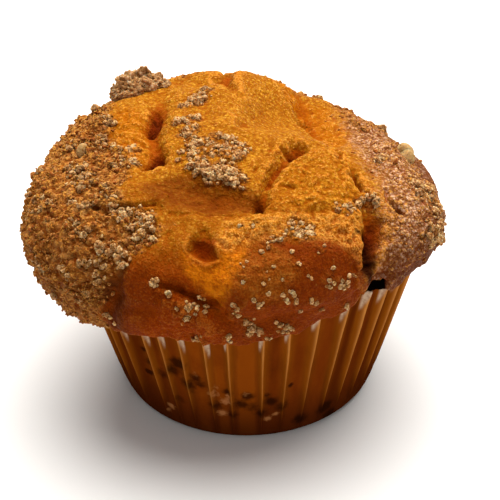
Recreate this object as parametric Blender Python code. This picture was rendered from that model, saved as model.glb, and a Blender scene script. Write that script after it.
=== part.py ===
"""A muffin with a cracked, domed crown and baked-on streusel crumbs, standing in its pleated paper case.

Two pieces: the cake, which fills the case and spreads over its rim as a lobed crown, and the thin paper case.
Lengths are in millimetres until the meshes are made. Azimuths are in degrees, from +X towards +Y, so the
shown side faces 270. A place on the crown is (azimuth, percent), the percent of the way along its outline
from the peak to the middle of the cake's base.
"""

import math
import random

import bmesh
import bpy
import numpy as np
from mathutils import Quaternion, Vector, noise

METRES = 0.001  # one millimetre

# The paper case: a flat round base, a wall that leans out, and folds that stand proud of it.
case_base_radius = 25.0
case_slope = 0.25
case_height = 38.0
corner_radius = 1.6
paper_thickness = 0.4
fold_height = 1.4
fold_width = 2.2
foot_rise, foot_width = 0.25, 0.35  # shares of the folds' height and width that are left at the foot
nick_azimuth, nick_width, nick_depth = 306.0, 5.0, 2.6
pocket_depth, pocket_radius = 3.6, 2.8  # the hollow in the cake's wall behind that nick
shown_folds = (221, 233, 239.5, 247, 256, 263.5, 275, 283.5, 292, 302, 310, 318.5, 327)
hidden_folds = 27

# The cake inside the case, and the crown above it. Each list runs round the crown in 30-degree steps from
# azimuth 0.
fit_gap = 0.5
crown_peak = 53.6
peak_offset = (-2.0, -0.5)
crown_reach = (36.9, 36.6, 38.3, 39.1, 39.6, 40.5, 41.5, 43.0, 39.4, 37.1, 37.8, 40.2)
crown_waist = (38.5, 38.0, 40.0, 40.6, 39.3, 38.3, 36.8, 35.9, 37.6, 39.3, 40.9, 41.7)
crown_lip = (34.8, 33.6, 34.0, 34.0, 31.8, 29.1, 26.9, 25.2, 29.6, 30.3, 34.6, 34.6)
crown_sag = (2.0, 5.0, 5.5, -0.7, -0.4, -1.2, 0.0, 0.0, 0.0, 0.0, 0.0, -0.2)
crown_fullness = 2.25
lip_thickness = 0.9
crown_splits = 7  # how often the ball that the cake is shaped from is divided
cake_triangles = 5100  # what is left of it before the crumbs are joined on
crumb_set_out = 0.45  # how far a crumb's middle stands out, as a share of its size

# The crown's relief. Each entry is (firmness, chain): a chain of (azimuth, percent along the outline,
# half-width, rise) that stands out where rise is positive and sinks in where it is negative. Firmer ones have
# steeper sides.
forms = (
    # the dome
    (3, ((250, 8, 9.0, 0.8), (20, 10, 8.0, 0.9))),
    # the front lobe, the three-cornered lobe and the ridge between them
    (6, ((271, 56, 4.6, 1.2), (286, 54, 7.4, 1.7), (298, 55, 5.6, 1.6))),
    (5, ((341, 24, 2.6, 1.0), (323, 27, 4.4, 1.6), (309, 34.5, 4.4, 1.5))),
    (4, ((268, 40, 2.4, 0.6), (281, 38, 2.6, 1.0), (291, 35, 2.8, 1.2), (300, 36.5, 2.0, 0.8))),
    # the plate over the left crease, the crumbly flap, the shelf beside it and the left lobe
    (6, ((212, 35, 3.0, 0.6), (221, 33.5, 3.2, 1.1), (231, 31.5, 3.0, 1.0))),
    (5, ((250, 59.5, 2.6, 1.1), (256, 62, 3.6, 1.3), (261, 65, 3.0, 1.0), (267, 66, 2.4, 0.8))),
    (5, ((237, 65, 2.6, 1.3), (243, 64, 3.0, 1.4), (249, 66, 2.8, 1.0))),
    (4, ((190, 48, 9.0, 0.8), (205, 52, 9.5, 0.9), (215, 56, 7.0, 0.8))),
    (4, ((350, 46, 7.0, 0.7), (335, 50, 7.5, 0.8), (322, 54, 5.0, 0.7))),
    (4, ((20, 52, 6.0, 0.9), (35, 54, 6.0, 0.7))),
    (4, ((70, 38, 6.0, 1.0), (82, 36, 6.0, 0.8))),
    (5, ((105, 42, 6.0, 1.0), (118, 40, 5.0, 0.9))),
    (5, ((130, 58, 6.0, 0.9), (150, 57, 6.0, 0.9))),
    # the cleft behind the left shoulder, its slit, and the wedge at its foot
    (2.4, ((122, 37, 2.6, -0.6), (141, 25, 2.8, -2.2), (170, 20, 2.6, -2.4), (207, 20.7, 2.2, -2.0),
           (214, 24, 1.6, -0.5))),
    (3, ((142, 26, 0.9, -1.0), (157, 22, 1.0, -3.2), (167, 20.8, 0.7, -2.0))),
    (2.4, ((190, 18, 1.0, -0.6), (206, 20, 1.5, -2.4), (212, 23, 0.8, -0.8))),
    # the sunk band under the dome
    (2.4, ((228, 27, 2.4, -0.5), (245, 26, 3.4, -1.7), (262, 28.5, 3.6, -2.1), (281, 31.4, 1.8, -1.2))),
    # the cleft between the dome and the three-cornered lobe, with the pit at its top
    (3, ((344, 17.2, 2.3, -3.2), (332, 16, 1.8, -3.0))),
    (2.4, ((332, 16, 1.4, -2.0), (312, 18.3, 1.2, -2.2), (297, 22.3, 1.1, -2.2), (286, 27, 1.1, -2.0),
           (282, 31.5, 1.2, -2.4), (283, 35, 0.9, -0.8))),
    # the crease across the left shoulder
    (3, ((215, 38.8, 0.7, -0.8), (222, 37.2, 0.9, -2.0), (229, 35.6, 0.9, -1.8), (237, 33.4, 0.7, -0.6))),
    # the soft strip behind the dome and its pit
    (2.4, ((68, 44, 3.0, -0.8), (58, 38, 3.4, -1.6), (38, 31, 3.4, -1.6), (9, 28, 2.4, -0.8))),
    (3, ((66, 44.5, 1.4, -0.8), (60, 41.5, 1.4, -0.8))),
    # the deep cleft down the right side, from a thin crack to the hollow over the rim
    (2.4, ((352, 25, 0.7, -0.8), (336, 28.8, 0.9, -2.4), (327, 33.6, 0.9, -2.6), (323, 38, 0.9, -1.4))),
    (4, ((319, 42, 1.5, -1.2), (315.8, 45.6, 2.1, -3.2), (311.3, 49.8, 2.1, -4.0), (307, 54.2, 1.6, -3.8),
         (304, 58.5, 1.1, -3.2))),
    # under the three-cornered lobe
    (2.4, ((291, 35.5, 0.8, -0.6), (299, 38.8, 1.1, -1.6), (306, 40, 1.1, -1.4), (312, 41, 0.9, -1.0))),
    # the crater in the front
    (3, ((258.5, 41.5, 2.0, -1.3), (258.3, 45.2, 2.6, -2.6))),
    # the groove round the crumbly flap, and the pocket beside the left lobe
    (2.4, ((245, 53, 1.0, -0.6), (251, 54.4, 1.2, -1.6), (256.5, 56.8, 1.3, -2.2), (261, 59.4, 1.3, -2.4),
           (265, 63, 1.1, -1.2))),
    (3, ((236, 50, 2.0, -0.8), (234, 55, 2.6, -2.8), (233, 59, 2.3, -3.4), (231.5, 64, 1.7, -2.8))),
    # clefts on the far side
    (2.4, ((88, 22, 1.2, -0.8), (96, 32, 1.6, -2.6), (94, 42, 1.4, -2.2), (100, 50, 1.0, -0.8))),
    (2.4, ((120, 46, 1.0, -0.6), (132, 50, 1.3, -1.8), (146, 49, 1.1, -1.4), (158, 52, 0.9, -0.6))),
    (2.4, ((70, 54, 0.9, -0.6), (78, 58, 1.2, -1.8), (86, 57, 1.0, -1.2))),
)


# Streusel crumbs: clusters of (azimuth, percent along, spread, count, size), and looser fields of
# (azimuths, percents, count, size).
clusters = (
    (133, 45, 1.0, 2, 1.7), (127, 45.5, 1.2, 3, 2.0), (120, 45, 1.2, 3, 1.8), (114, 43.5, 0.6, 1, 1.4),
    (112, 26, 0.6, 1, 1.3), (123, 19.5, 0.9, 2, 1.3), (151, 12.3, 1.0, 2, 1.2), (166, 10.5, 0.9, 2, 1.2),
    (160, 16.6, 0.6, 1, 1.2), (200, 8.5, 0.6, 1, 1.2), (222, 12, 0.9, 2, 1.2), (235, 15.8, 1.0, 2, 1.2),
    (240, 5, 0.9, 2, 1.4), (258, 7.5, 1.0, 2, 1.5), (262, 12.5, 0.9, 2, 1.4), (276, 9.5, 0.5, 1, 1.2),
    (246, 17.2, 0.6, 1, 1.2), (260, 19.5, 0.9, 2, 1.4), (271, 21, 0.5, 1, 1.1),
    (186, 39.4, 1.0, 2, 1.5), (197, 38.4, 1.0, 2, 1.5), (212, 42, 0.8, 2, 1.2),
    (227, 37.8, 1.0, 2, 1.3), (234, 40.2, 1.0, 2, 1.3), (236, 43.6, 0.6, 1, 1.2),
    (229, 46.8, 0.6, 1, 1.3), (233, 49, 1.0, 2, 1.4), (229, 52.5, 0.6, 1, 1.2),
    (289, 40.5, 0.8, 2, 1.3), (293, 43, 0.8, 1, 1.4), (280.5, 44.4, 0.4, 1, 1.1), (295.5, 48.3, 0.2, 1, 0.9),
    (270, 48.4, 0.4, 1, 1.0), (280, 57, 0.5, 1, 1.1), (293.5, 57.4, 0.5, 1, 1.2), (297, 60.3, 0.2, 1, 0.9),
    (272, 58.3, 0.6, 1, 1.3), (267.5, 60, 0.6, 1, 1.2), (289, 62, 0.4, 1, 1.0), (272, 63.8, 0.5, 1, 1.2),
    (253, 60, 0.9, 2, 1.3), (259, 58, 0.4, 1, 1.0), (321, 40, 0.9, 2, 1.2), (20, 53, 0.6, 1, 2.1),
    (5, 49, 0.5, 1, 1.3), (359, 39, 0.5, 1, 1.3), (338, 48.6, 0.8, 1, 1.3), (332, 55, 0.8, 2, 1.2),
    (48, 50, 1.2, 2, 1.5), (66, 58, 1.0, 2, 1.4), (86, 44, 1.2, 3, 1.6), (100, 56, 1.2, 2, 1.4),
    (70, 28, 1.2, 2, 1.4), (146, 40, 1.2, 2, 1.4),
)
fields = (((140, 236), (36, 69), 16, 1.0), ((322, 420), (36, 68), 11, 1.0), ((60, 140), (40, 69), 9, 1.0))


def case_radius(height):
    """The outside of the paper's flat panels, rounded in at the foot."""
    rounded = np.clip(1 - height / corner_radius, 0, 1)
    return case_base_radius + case_slope * height - 0.9 * corner_radius * rounded**2


def rim_height(azimuth):
    """The paper's top edge, which dips where a fold is pressed in under the deep cleft."""
    return case_height - nick_depth * np.exp(-(((azimuth - nick_azimuth) / nick_width) ** 2))


def groove_radius(height):
    """The crown's inner side, where it hangs down outside the case's rim and clears the folds."""
    return case_radius(height) + fold_height + fit_gap


def round_the_crown(values, azimuth):
    """A smooth value at each azimuth, through equally spaced ones."""
    place = np.asarray(azimuth) / (360.0 / len(values))
    first = np.floor(place).astype(int)
    f = place - first
    a, b, c, d = (np.take(values, first + k, mode="wrap") for k in (-1, 0, 1, 2))
    return b + 0.5 * f * (c - a + f * (2 * a - 5 * b + 4 * c - d + f * (3 * (b - c) + d - a)))


def dome_outline():
    """A quarter of the dome's outline, as (share of its length, radius, height), the last two from 0 to 1."""
    turn = np.linspace(0.0, math.pi / 2, 400)
    radius = np.sin(turn) ** (2 / crown_fullness)
    height = np.cos(turn) ** (2 / crown_fullness)
    rise = crown_peak - np.mean(crown_waist)
    legs = np.hypot(np.diff(radius) * np.mean(crown_reach), np.diff(height) * rise)
    length = np.concatenate([[0.0], np.cumsum(legs)])
    return length / length[-1], radius, height


dome_share, dome_radius, dome_height = dome_outline()

# How the cake's outline is shared out, from the peak (0) to the middle of its base (1).
dome_end, lip_end, groove_end, wall_end = 0.60, 0.74, 0.84, 0.95


def cake_outline(azimuth, along):
    """Points and outward directions on the undisturbed cake, for azimuths and places along the outline."""
    reach, waist, lip, sag = (
        round_the_crown(values, azimuth) for values in (crown_reach, crown_waist, crown_lip, crown_sag)
    )
    nick = np.exp(-(((azimuth - nick_azimuth) / nick_width) ** 2))
    lip = lip + (case_height - 0.4 - lip) * nick
    rim = np.maximum(rim_height(azimuth) + fit_gap, lip)
    floor = paper_thickness + fit_gap
    wall_top = case_radius(np.minimum(rim, case_height)) - paper_thickness - fit_gap
    wall_foot = case_radius(floor) - paper_thickness - fit_gap
    lip_radius = groove_radius(lip) + lip_thickness

    # The dome, then the lip that curls under it.
    share = np.clip(along / dome_end, 0, 1)
    rise = np.interp(share, dome_share, dome_height)
    radius = reach * np.interp(share, dome_share, dome_radius)
    height = waist + (crown_peak - waist) * rise - sag * np.sin(math.pi * share)
    curl = np.clip((along - dome_end) / (lip_end - dome_end), 0, 1) * math.pi / 2
    on_lip = along > dome_end
    radius = np.where(on_lip, lip_radius + (reach - lip_radius) * np.cos(curl), radius)
    height = np.where(on_lip, waist - (waist - lip) * np.sin(curl), height)

    # The inner side: in under the lip, up the outside of the paper, and over its rim.
    leg = (along - lip_end) / (groove_end - lip_end)
    level = lip + (rim - lip) * np.clip((leg - 0.15) / 0.5, 0, 1)
    inner = groove_radius(level) + lip_thickness * (1 - np.clip(leg / 0.15, 0, 1))
    inner += (wall_top - groove_radius(rim)) * np.clip((leg - 0.65) / 0.35, 0, 1)
    radius = np.where(along > lip_end, inner, radius)
    height = np.where(along > lip_end, level, height)

    # The wall inside the paper, and the flat base.
    down = np.clip((along - groove_end) / (wall_end - groove_end), 0, 1)
    across = np.clip((along - wall_end) / (1 - wall_end), 0, 1)
    inside = (wall_top + (wall_foot - wall_top) * down) * (1 - across)
    radius = np.where(along > groove_end, inside, radius)
    height = np.where(along > groove_end, rim + (floor - rim) * down, height)

    turn = np.radians(azimuth)
    points = np.stack([radius * np.cos(turn), radius * np.sin(turn), height], axis=-1)
    drop = np.where(on_lip, waist - lip + 2, crown_peak - waist)
    out = points * np.stack([reach**-2.0, reach**-2.0, 0 * reach], axis=-1)
    out[:, 2] = (height - waist) / drop**2
    out /= np.linalg.norm(out, axis=1)[:, None]
    on_dome = np.where(on_lip, 0, rise)
    points[:, 0] += peak_offset[0] * on_dome
    points[:, 1] += peak_offset[1] * on_dome
    return points, out


def spot(azimuth, percent):
    return cake_outline(np.array([float(azimuth)]), np.array([percent / 100.0]))[0][0]


def form_rise(points, firmness, chain):
    """How far one form lifts each point."""
    stations = [spot(azimuth, percent) for azimuth, percent, _, _ in chain]
    closest = np.full(len(points), 1e9)
    rise = np.zeros(len(points))
    for start, end, one, other in zip(stations, stations[1:], chain, chain[1:]):
        leg = end - start
        share = np.clip((points - start) @ leg / (leg @ leg), 0, 1)
        half_width = one[2] + (other[2] - one[2]) * share
        distance = np.linalg.norm(points - start - share[:, None] * leg, axis=1) / half_width
        nearer = distance < closest
        closest = np.where(nearer, distance, closest)
        rise = np.where(nearer, one[3] + (other[3] - one[3]) * share, rise)
    return rise * np.exp(-(closest**firmness))


def waver(points, size, seed):
    """Smooth noise from -1 to 1, with features of about this size in millimetres."""
    shift = Vector((seed * 17.3, seed * 5.1, seed * 11.7))
    return np.array([noise.noise(Vector(point) / size + shift) for point in points])


def relief(points, along):
    """How far the crown stands out from the undisturbed cake. It fades to nothing on the inner side."""
    wander = np.stack([waver(points, 5, seed) for seed in (1, 2, 3)], axis=-1)
    bent = points + 1.1 * wander
    rise = 0.6 * waver(points, 9, 4) + 0.5 * waver(points, 4, 5)
    for firmness, chain in forms:
        rise += form_rise(bent, firmness, chain)
    rise *= np.clip((lip_end - along) / 0.05, 0, 1)
    # The pocket under the nick in the rim goes into the cake's wall.
    pocket = np.linalg.norm(points - spot(nick_azimuth, 100 * groove_end + 0.3), axis=1) / pocket_radius
    return rise - pocket_depth * np.exp(-(pocket**3)) * (along > groove_end - 0.02)


def kept_clear(points, along):
    """The crown's points, moved out where the relief would take them through the paper's side of the lip."""
    azimuth = np.degrees(np.arctan2(points[:, 1], points[:, 0])) % 360
    above = np.maximum(0, points[:, 2] - rim_height(azimuth) - fit_gap - 0.6)
    least = np.where(above < 4, groove_radius(points[:, 2]) + 0.4 - 2 * above, 0)
    radius = np.hypot(points[:, 0], points[:, 1]) + 1e-6
    stretch = np.where(along < lip_end, np.maximum(1, least / radius), 1)
    return points * np.stack([stretch, stretch, np.ones(len(points))], axis=-1)


def crown_surface(subdivisions):
    """(points, faces, along) of the whole cake without its crumbs, in millimetres."""
    ball = bmesh.new()
    bmesh.ops.create_icosphere(ball, subdivisions=subdivisions, radius=1)
    directions = np.array([vertex.co for vertex in ball.verts])
    faces = [[vertex.index for vertex in face.verts] for face in ball.faces]
    ball.free()
    azimuth = np.degrees(np.arctan2(directions[:, 1], directions[:, 0])) % 360
    along = np.arccos(np.clip(directions[:, 2], -1, 1)) / math.pi
    points, out = cake_outline(azimuth, along)
    return kept_clear(points + relief(points, along)[:, None] * out, along), faces, along


def crumb_places(points, normals, along):
    """(place, direction, size) of every crumb on the crown, the clusters first."""
    pick = random.Random(11)
    wanted = []
    for degrees, percent, spread, count, size in clusters:
        centre = spot(degrees, percent)
        for _ in range(count):
            offset = np.array([pick.gauss(0, 1) for _ in range(3)]) * spread
            wanted.append((centre + offset, size * pick.uniform(0.85, 1.15)))
    for (low, high), (nearest, farthest), count, size in fields:
        for _ in range(count):
            place = spot(pick.uniform(low, high), pick.uniform(nearest, farthest))
            wanted.append((place, size * pick.uniform(0.9, 1.2)))
    on_crown = np.flatnonzero(along < lip_end - 0.05)
    places = []
    for place, size in wanted:
        nearest = on_crown[np.argmin(np.linalg.norm(points[on_crown] - place, axis=1))]
        places.append((points[nearest], normals[nearest], size))
    return places


def mesh_object(name, points, faces, collection=None):
    mesh = bpy.data.meshes.new(name)
    mesh.from_pydata([tuple(point * METRES) for point in points], [], faces)
    made = bpy.data.objects.new(name, mesh)
    (collection or bpy.context.scene.collection).objects.link(made)
    return made


def applied(target):
    """The object with its modifiers made part of its mesh."""
    graph = bpy.context.evaluated_depsgraph_get()
    target.data = bpy.data.meshes.new_from_object(target.evaluated_get(graph))
    target.modifiers.clear()
    return target


def keep_largest_shell(target):
    """Drops the slivers that a union can leave apart from the body."""
    mesh = bmesh.new()
    mesh.from_mesh(target.data)
    unseen = set(mesh.verts)
    shells = []
    while unseen:
        front = [unseen.pop()]
        shell = list(front)
        while front:
            near = {edge.other_vert(vertex) for vertex in front for edge in vertex.link_edges} & unseen
            unseen -= near
            front = list(near)
            shell += front
        shells.append(shell)
    shells.sort(key=len)
    bmesh.ops.delete(mesh, geom=[vertex for shell in shells[:-1] for vertex in shell], context="VERTS")
    mesh.to_mesh(target.data)
    mesh.free()


def make_cake():
    points, faces, along = crown_surface(crown_splits)
    cake = mesh_object("cake", points, faces)
    normals = np.array([vertex.normal for vertex in cake.data.vertices])
    thin = cake.modifiers.new("thin out", "DECIMATE")
    thin.ratio = cake_triangles / len(faces)
    applied(cake)

    crumbs = bpy.data.collections.new("crumbs")
    bpy.context.scene.collection.children.link(crumbs)
    pick = random.Random(5)
    for number, (place, direction, size) in enumerate(crumb_places(points, normals, along)):
        ball = bmesh.new()
        bmesh.ops.create_icosphere(ball, subdivisions=1, radius=size)
        turn = Quaternion(Vector([pick.gauss(0, 1) for _ in range(3)]).normalized(), pick.uniform(0, 6))
        stretch = Vector([pick.uniform(0.85, 1.2) for _ in range(3)])
        shape = np.array([turn @ (stretch * vertex.co) for vertex in ball.verts])
        corners = [[vertex.index for vertex in face.verts] for face in ball.faces]
        ball.free()
        mesh_object(f"crumb {number}", shape + place + direction * size * crumb_set_out, corners, crumbs)
    bpy.context.view_layer.update()
    join = cake.modifiers.new("join the crumbs", "BOOLEAN")
    join.operation = "UNION"
    join.operand_type = "COLLECTION"
    join.collection = crumbs
    applied(cake)
    keep_largest_shell(cake)
    for crumb in list(crumbs.objects):
        bpy.data.objects.remove(crumb)
    bpy.data.collections.remove(crumbs)
    return cake


def case_ring(climb, inset):
    """One ring of the case's wall at a share of its height: three points at each fold, flat panels between.

    The folds flatten and narrow towards the foot.
    """
    gap = 360.0 + shown_folds[0] - shown_folds[-1]
    hidden = [shown_folds[-1] + gap * (step + 1) / (hidden_folds + 1) for step in range(hidden_folds)]
    ring = []
    for azimuth in (*shown_folds, *hidden):
        height = climb * rim_height(azimuth)
        radius = case_radius(height) - inset
        width = fold_width * (foot_width + (1 - foot_width) * climb)
        half = math.degrees(width / 2 / radius)
        peak = radius + fold_height * (foot_rise + (1 - foot_rise) * climb)
        for turn, reach in ((azimuth - half, radius), (azimuth, peak), (azimuth + half, radius)):
            angle = math.radians(turn)
            ring.append(np.array([reach * math.cos(angle), reach * math.sin(angle), height]))
    return ring


def make_paper_case():
    levels = (0.0, 0.015, 0.042, 0.4, 0.8, 1.0)
    rings = [case_ring(level, 0.0) for level in levels]
    rings += [case_ring(level, paper_thickness) for level in reversed(levels[1:])]
    count = len(rings[0])
    points = [point for ring in rings for point in ring]
    faces = []
    for row in range(len(rings) - 1):
        for step in range(count):
            after = (step + 1) % count
            low, high = row * count, (row + 1) * count
            faces.append((low + step, low + after, high + after))
            faces.append((low + step, high + after, high + step))
    # The base, outside and inside, each a fan round its middle.
    points += [np.array([0, 0, 0.0]), np.array([0, 0, levels[1] * case_height])]
    for step in range(count):
        after = (step + 1) % count
        faces.append((after, step, len(points) - 2))
        last = (len(rings) - 1) * count
        faces.append((last + step, last + after, len(points) - 1))
    return mesh_object("paper_case", points, faces)


def plain_material(name, colour, roughness):
    material = bpy.data.materials.new(name)
    material.use_nodes = True
    shader = next(node for node in material.node_tree.nodes if node.type == "BSDF_PRINCIPLED")
    shader.inputs["Base Color"].default_value = (*colour, 1)
    shader.inputs["Roughness"].default_value = roughness
    return material


def main():
    for old in list(bpy.data.objects):
        bpy.data.objects.remove(old)
    make_cake().data.materials.append(plain_material("golden crumb", (0.55, 0.23, 0.05), 0.75))
    make_paper_case().data.materials.append(plain_material("greaseproof paper", (0.32, 0.13, 0.04), 0.5))


main()
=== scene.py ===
# A muffin with a cracked golden crown, baked-on streusel and a pleated paper case.
# Shapes are worked out in millimetres and turned into metres when a mesh is made. Azimuths are in degrees
# from +X towards +Y, and the camera stands at 270. A place on the crown is (azimuth, percent of the way down
# its outline).
import math
import random

import bmesh
import bpy
import numpy as np
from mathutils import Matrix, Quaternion, Vector, noise


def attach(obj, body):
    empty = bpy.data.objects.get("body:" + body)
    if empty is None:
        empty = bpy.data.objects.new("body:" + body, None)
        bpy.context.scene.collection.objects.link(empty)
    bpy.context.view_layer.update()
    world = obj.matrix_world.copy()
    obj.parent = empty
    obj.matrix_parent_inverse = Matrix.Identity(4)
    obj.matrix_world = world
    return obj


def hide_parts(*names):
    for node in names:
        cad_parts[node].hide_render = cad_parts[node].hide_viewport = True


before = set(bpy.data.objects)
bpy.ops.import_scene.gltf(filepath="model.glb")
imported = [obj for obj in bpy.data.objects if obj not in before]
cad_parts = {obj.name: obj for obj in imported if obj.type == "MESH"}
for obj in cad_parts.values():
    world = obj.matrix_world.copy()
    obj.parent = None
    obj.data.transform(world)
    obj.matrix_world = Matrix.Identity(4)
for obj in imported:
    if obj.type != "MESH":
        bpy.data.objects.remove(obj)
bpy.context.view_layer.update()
scene = bpy.context.scene
metres = 0.001


# places and sizes in metres, the lens and the floor in millimetres
view = {
    "place": (0, -0.27138, 0.20457), "aim": (0.00073, 0, 0.02684), "roll": 0.867,
    "lens": 118.98, "sensor": 36,
}
studio = {
    "target": (0, 0, 0.03),
    "overhead": {"place": (0.05, 0.17, 0.60), "size": 0.80, "power": 9.0, "colour": (1.0, 0.98, 0.95)},
    "front": {"place": (0.15, -0.70, 0.40), "size": 0.50, "power": 0.9, "colour": (1.0, 0.98, 0.96)},
    "sky": 0.26,
    "floorColour": (0.93, 0.92, 0.90), "floorShade": (0.86, 0.85, 0.83),
    "floorReach": 1500, "floorDrop": 0.15,
}


def placeCamera():
    lens = bpy.data.cameras.new("view")
    lens.lens, lens.sensor_width = view["lens"], view["sensor"]
    camera = bpy.data.objects.new("view", lens)
    scene.collection.objects.link(camera)
    camera.location = view["place"]
    towards = Vector(view["aim"]) - Vector(view["place"])
    turn = towards.to_track_quat("-Z", "Y") @ Quaternion((0, 0, 1), -math.radians(view["roll"]))
    camera.rotation_euler = turn.to_euler()
    scene.camera = camera


def placeLight(name):
    lamp = studio[name]
    data = bpy.data.lights.new(name, "AREA")
    data.shape, data.size, data.energy, data.color = "DISK", lamp["size"], lamp["power"], lamp["colour"]
    light = bpy.data.objects.new(name, data)
    scene.collection.objects.link(light)
    light.location = lamp["place"]
    towards = Vector(studio["target"]) - light.location
    light.rotation_euler = towards.to_track_quat("-Z", "Y").to_euler()


def setSky():
    scene.world = bpy.data.worlds.new("studio")
    scene.world.use_nodes = True
    sky = next(node for node in scene.world.node_tree.nodes if node.type == "BACKGROUND")
    sky.inputs["Color"].default_value = (1, 1, 1, 1)
    sky.inputs["Strength"].default_value = studio["sky"]
    scene.view_settings.view_transform = "Standard"


class Wire:  # a node's output that can be used in sums
    def __init__(self, finish, socket):
        self.finish, self.socket = finish, socket

    def sum(self, operation, first, second):
        return self.finish.add("Math", {"operation": operation}, {0: first, 1: second})

    def __add__(self, other):
        return self.sum("ADD", self, other)

    def __radd__(self, other):
        return self.sum("ADD", other, self)

    def __sub__(self, other):
        return self.sum("SUBTRACT", self, other)

    def __rsub__(self, other):
        return self.sum("SUBTRACT", other, self)

    def __mul__(self, other):
        return self.sum("MULTIPLY", self, other)

    def __rmul__(self, other):
        return self.sum("MULTIPLY", other, self)


class Finish:  # a material and the nodes in it
    def __init__(self, name, **values):
        self.material = bpy.data.materials.new(name)
        self.material.use_nodes = True
        self.nodes, self.links = self.material.node_tree.nodes, self.material.node_tree.links
        self.shader = next(node for node in self.nodes if node.type == "BSDF_PRINCIPLED")
        for words, value in values.items():
            self.put(self.shader.inputs[words.replace("_", " ")], value)

    def put(self, socket, value):
        if isinstance(value, Wire):
            self.links.new(value.socket, socket)
        elif socket.type == "RGBA":
            socket.default_value = (*value, 1)
        else:
            socket.default_value = value

    def add(self, kind, settings=None, inputs=None, output=0):
        node = self.nodes.new("ShaderNode" + kind)
        for key, value in (settings or {}).items():
            if key == "stops":
                while len(node.color_ramp.elements) < len(value):
                    node.color_ramp.elements.new(0.5)
                for stop, (place, colour) in zip(node.color_ramp.elements, value):
                    stop.position, stop.color = place, (*colour, 1)
            else:
                setattr(node, key, value)
        for key, value in (inputs or {}).items():
            self.put(node.inputs[key], value)
        return Wire(self, node.outputs[output])

    def blend(self, share, first, second):
        return self.add("Mix", {"data_type": "RGBA"}, {0: share, 6: first, 7: second}, 2)

    def ramp(self, value, *stops):
        return self.add("ValToRGB", {"stops": stops}, {0: value})

    def step(self, value, low, high):  # 0 below low, 1 above high, smooth between
        return self.add("MapRange", {"interpolation_type": "SMOOTHSTEP"}, {0: value, 1: low, 2: high})

    def coats(self, colour, *coats):  # each (share, colour) laid over the last
        for share, coat in coats:
            colour = self.blend(share, colour, coat)
        return colour

    def layers(self, *names):
        return [self.add("Attribute", {"attribute_name": name}, output="Fac") for name in names]

    def moved(self, operation, by):  # the object's own coordinates, changed
        here = self.add("TexCoord", output="Object")
        return self.add("VectorMath", {"operation": operation}, {0: here, 1: by})

    def cloud(self, size, detail, seed, squash=(1, 1, 1), output="Fac"):
        return self.add("TexNoise", {"noise_dimensions": "4D"}, {
            "Vector": self.moved("MULTIPLY", squash), "W": seed, "Scale": 1 / (size * metres),
            "Detail": detail, "Roughness": 0.55}, output)

    def pebbles(self, size, seed, output="Distance"):
        cloud = self.cloud(size * 0.8, 1, seed, output="Color")
        bend = self.add("VectorMath", {"operation": "SCALE"}, {0: cloud, "Scale": size * metres})
        return self.add("TexVoronoi", {"voronoi_dimensions": "4D"}, {
            "Vector": self.moved("ADD", bend), "W": seed, "Scale": 1 / (size * metres)}, output)

    def meal(self, size, seed, *stops):  # grains stuck together: their colour, and how far each stands out
        gap = self.pebbles(size, seed)
        shade = self.pebbles(size, seed, "Color") * 0.7 + self.cloud(size * 0.5, 2, seed) * 0.6 - gap * 0.6
        return self.ramp(shade, *stops), 1 - gap * 1.5

    def show(self, colour, height=None, depth=0.1, strength=1.0):
        self.put(self.shader.inputs["Base Color"], colour)
        if height is not None:
            bump = self.add("Bump", {}, {"Height": height, "Distance": depth * metres, "Strength": strength})
            self.put(self.shader.inputs["Normal"], bump)
        return self.material

    def blacken(self, share):  # where no light comes back
        output = next(node for node in self.nodes if node.type == "OUTPUT_MATERIAL")
        hole = self.add("BsdfDiffuse", {}, {"Color": (0.001, 0.0005, 0.0003)})
        mixed = self.add("MixShader", {}, {0: share, 1: Wire(self, self.shader.outputs[0]), 2: hole})
        self.links.new(mixed.socket, output.inputs["Surface"])


def tint(*shown):  # a colour as a photo shows it, 0 to 255, turned into the shader's own numbers
    parts = [part / 255 for part in shown]
    return tuple(part / 12.92 if part < 0.0404 else ((part + 0.055) / 1.055) ** 2.4 for part in parts)


def tinted(looks):  # a dictionary's colours, alone or as a ramp's (place, colour) stops
    ready = {}
    for name, look in looks.items():
        stops = isinstance(look[0], tuple)
        ready[name] = [(place, tint(*shown)) for place, shown in look] if stops else tint(*look)
    return ready


# the case and the cake, as in the solids
case = {
    "baseRadius": 25.0, "slope": 0.25, "height": 38.0, "corner": 1.6, "foldHeight": 1.4, "foldWidth": 2.2,
    "paper": 0.16,
    "nick": (306.0, 5.0, 2.6),  # where the rim dips: azimuth, width and depth
    "notch": (308.8, 2.7, 1.6),  # a ragged notch in the middle of the dip
    "shownFolds": (221, 233, 239.5, 247, 256, 263.5, 275, 283.5, 292, 302, 310, 318.5, 327),
    "hiddenFolds": 27,
}
crown = {
    "peak": 53.6, "peakOffset": (-2.0, -0.5), "gap": 0.5, "wallInset": 0.9, "fullness": 2.25, "lip": 0.9,
    "reach": (36.9, 36.6, 38.3, 39.1, 39.6, 40.5, 41.5, 43.0, 39.4, 37.1, 37.8, 40.2),
    "waist": (38.5, 38.0, 40.0, 40.6, 39.3, 38.3, 36.8, 35.9, 37.6, 39.3, 40.9, 41.7),
    "edge": (34.8, 33.6, 34.0, 34.0, 31.8, 29.1, 26.9, 25.2, 29.6, 30.3, 34.6, 34.6),
    "sag": (2.0, 5.0, 5.5, -0.7, -0.4, -1.2, 0.0, 0.0, 0.0, 0.0, 0.0, -0.2),
    "ends": (0.60, 0.74, 0.84, 0.95),  # where the dome, the lip, the groove and the wall end
    "frequency": 98,  # 20 faces times its square
    "holeDepth": 2.6, "pocketDepth": 3.6, "pocketReach": 2.8,
    "clearance": 0.4, "clearFrom": 0.6, "clearReach": 4,  # how it is kept off the paper's rim
}

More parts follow.
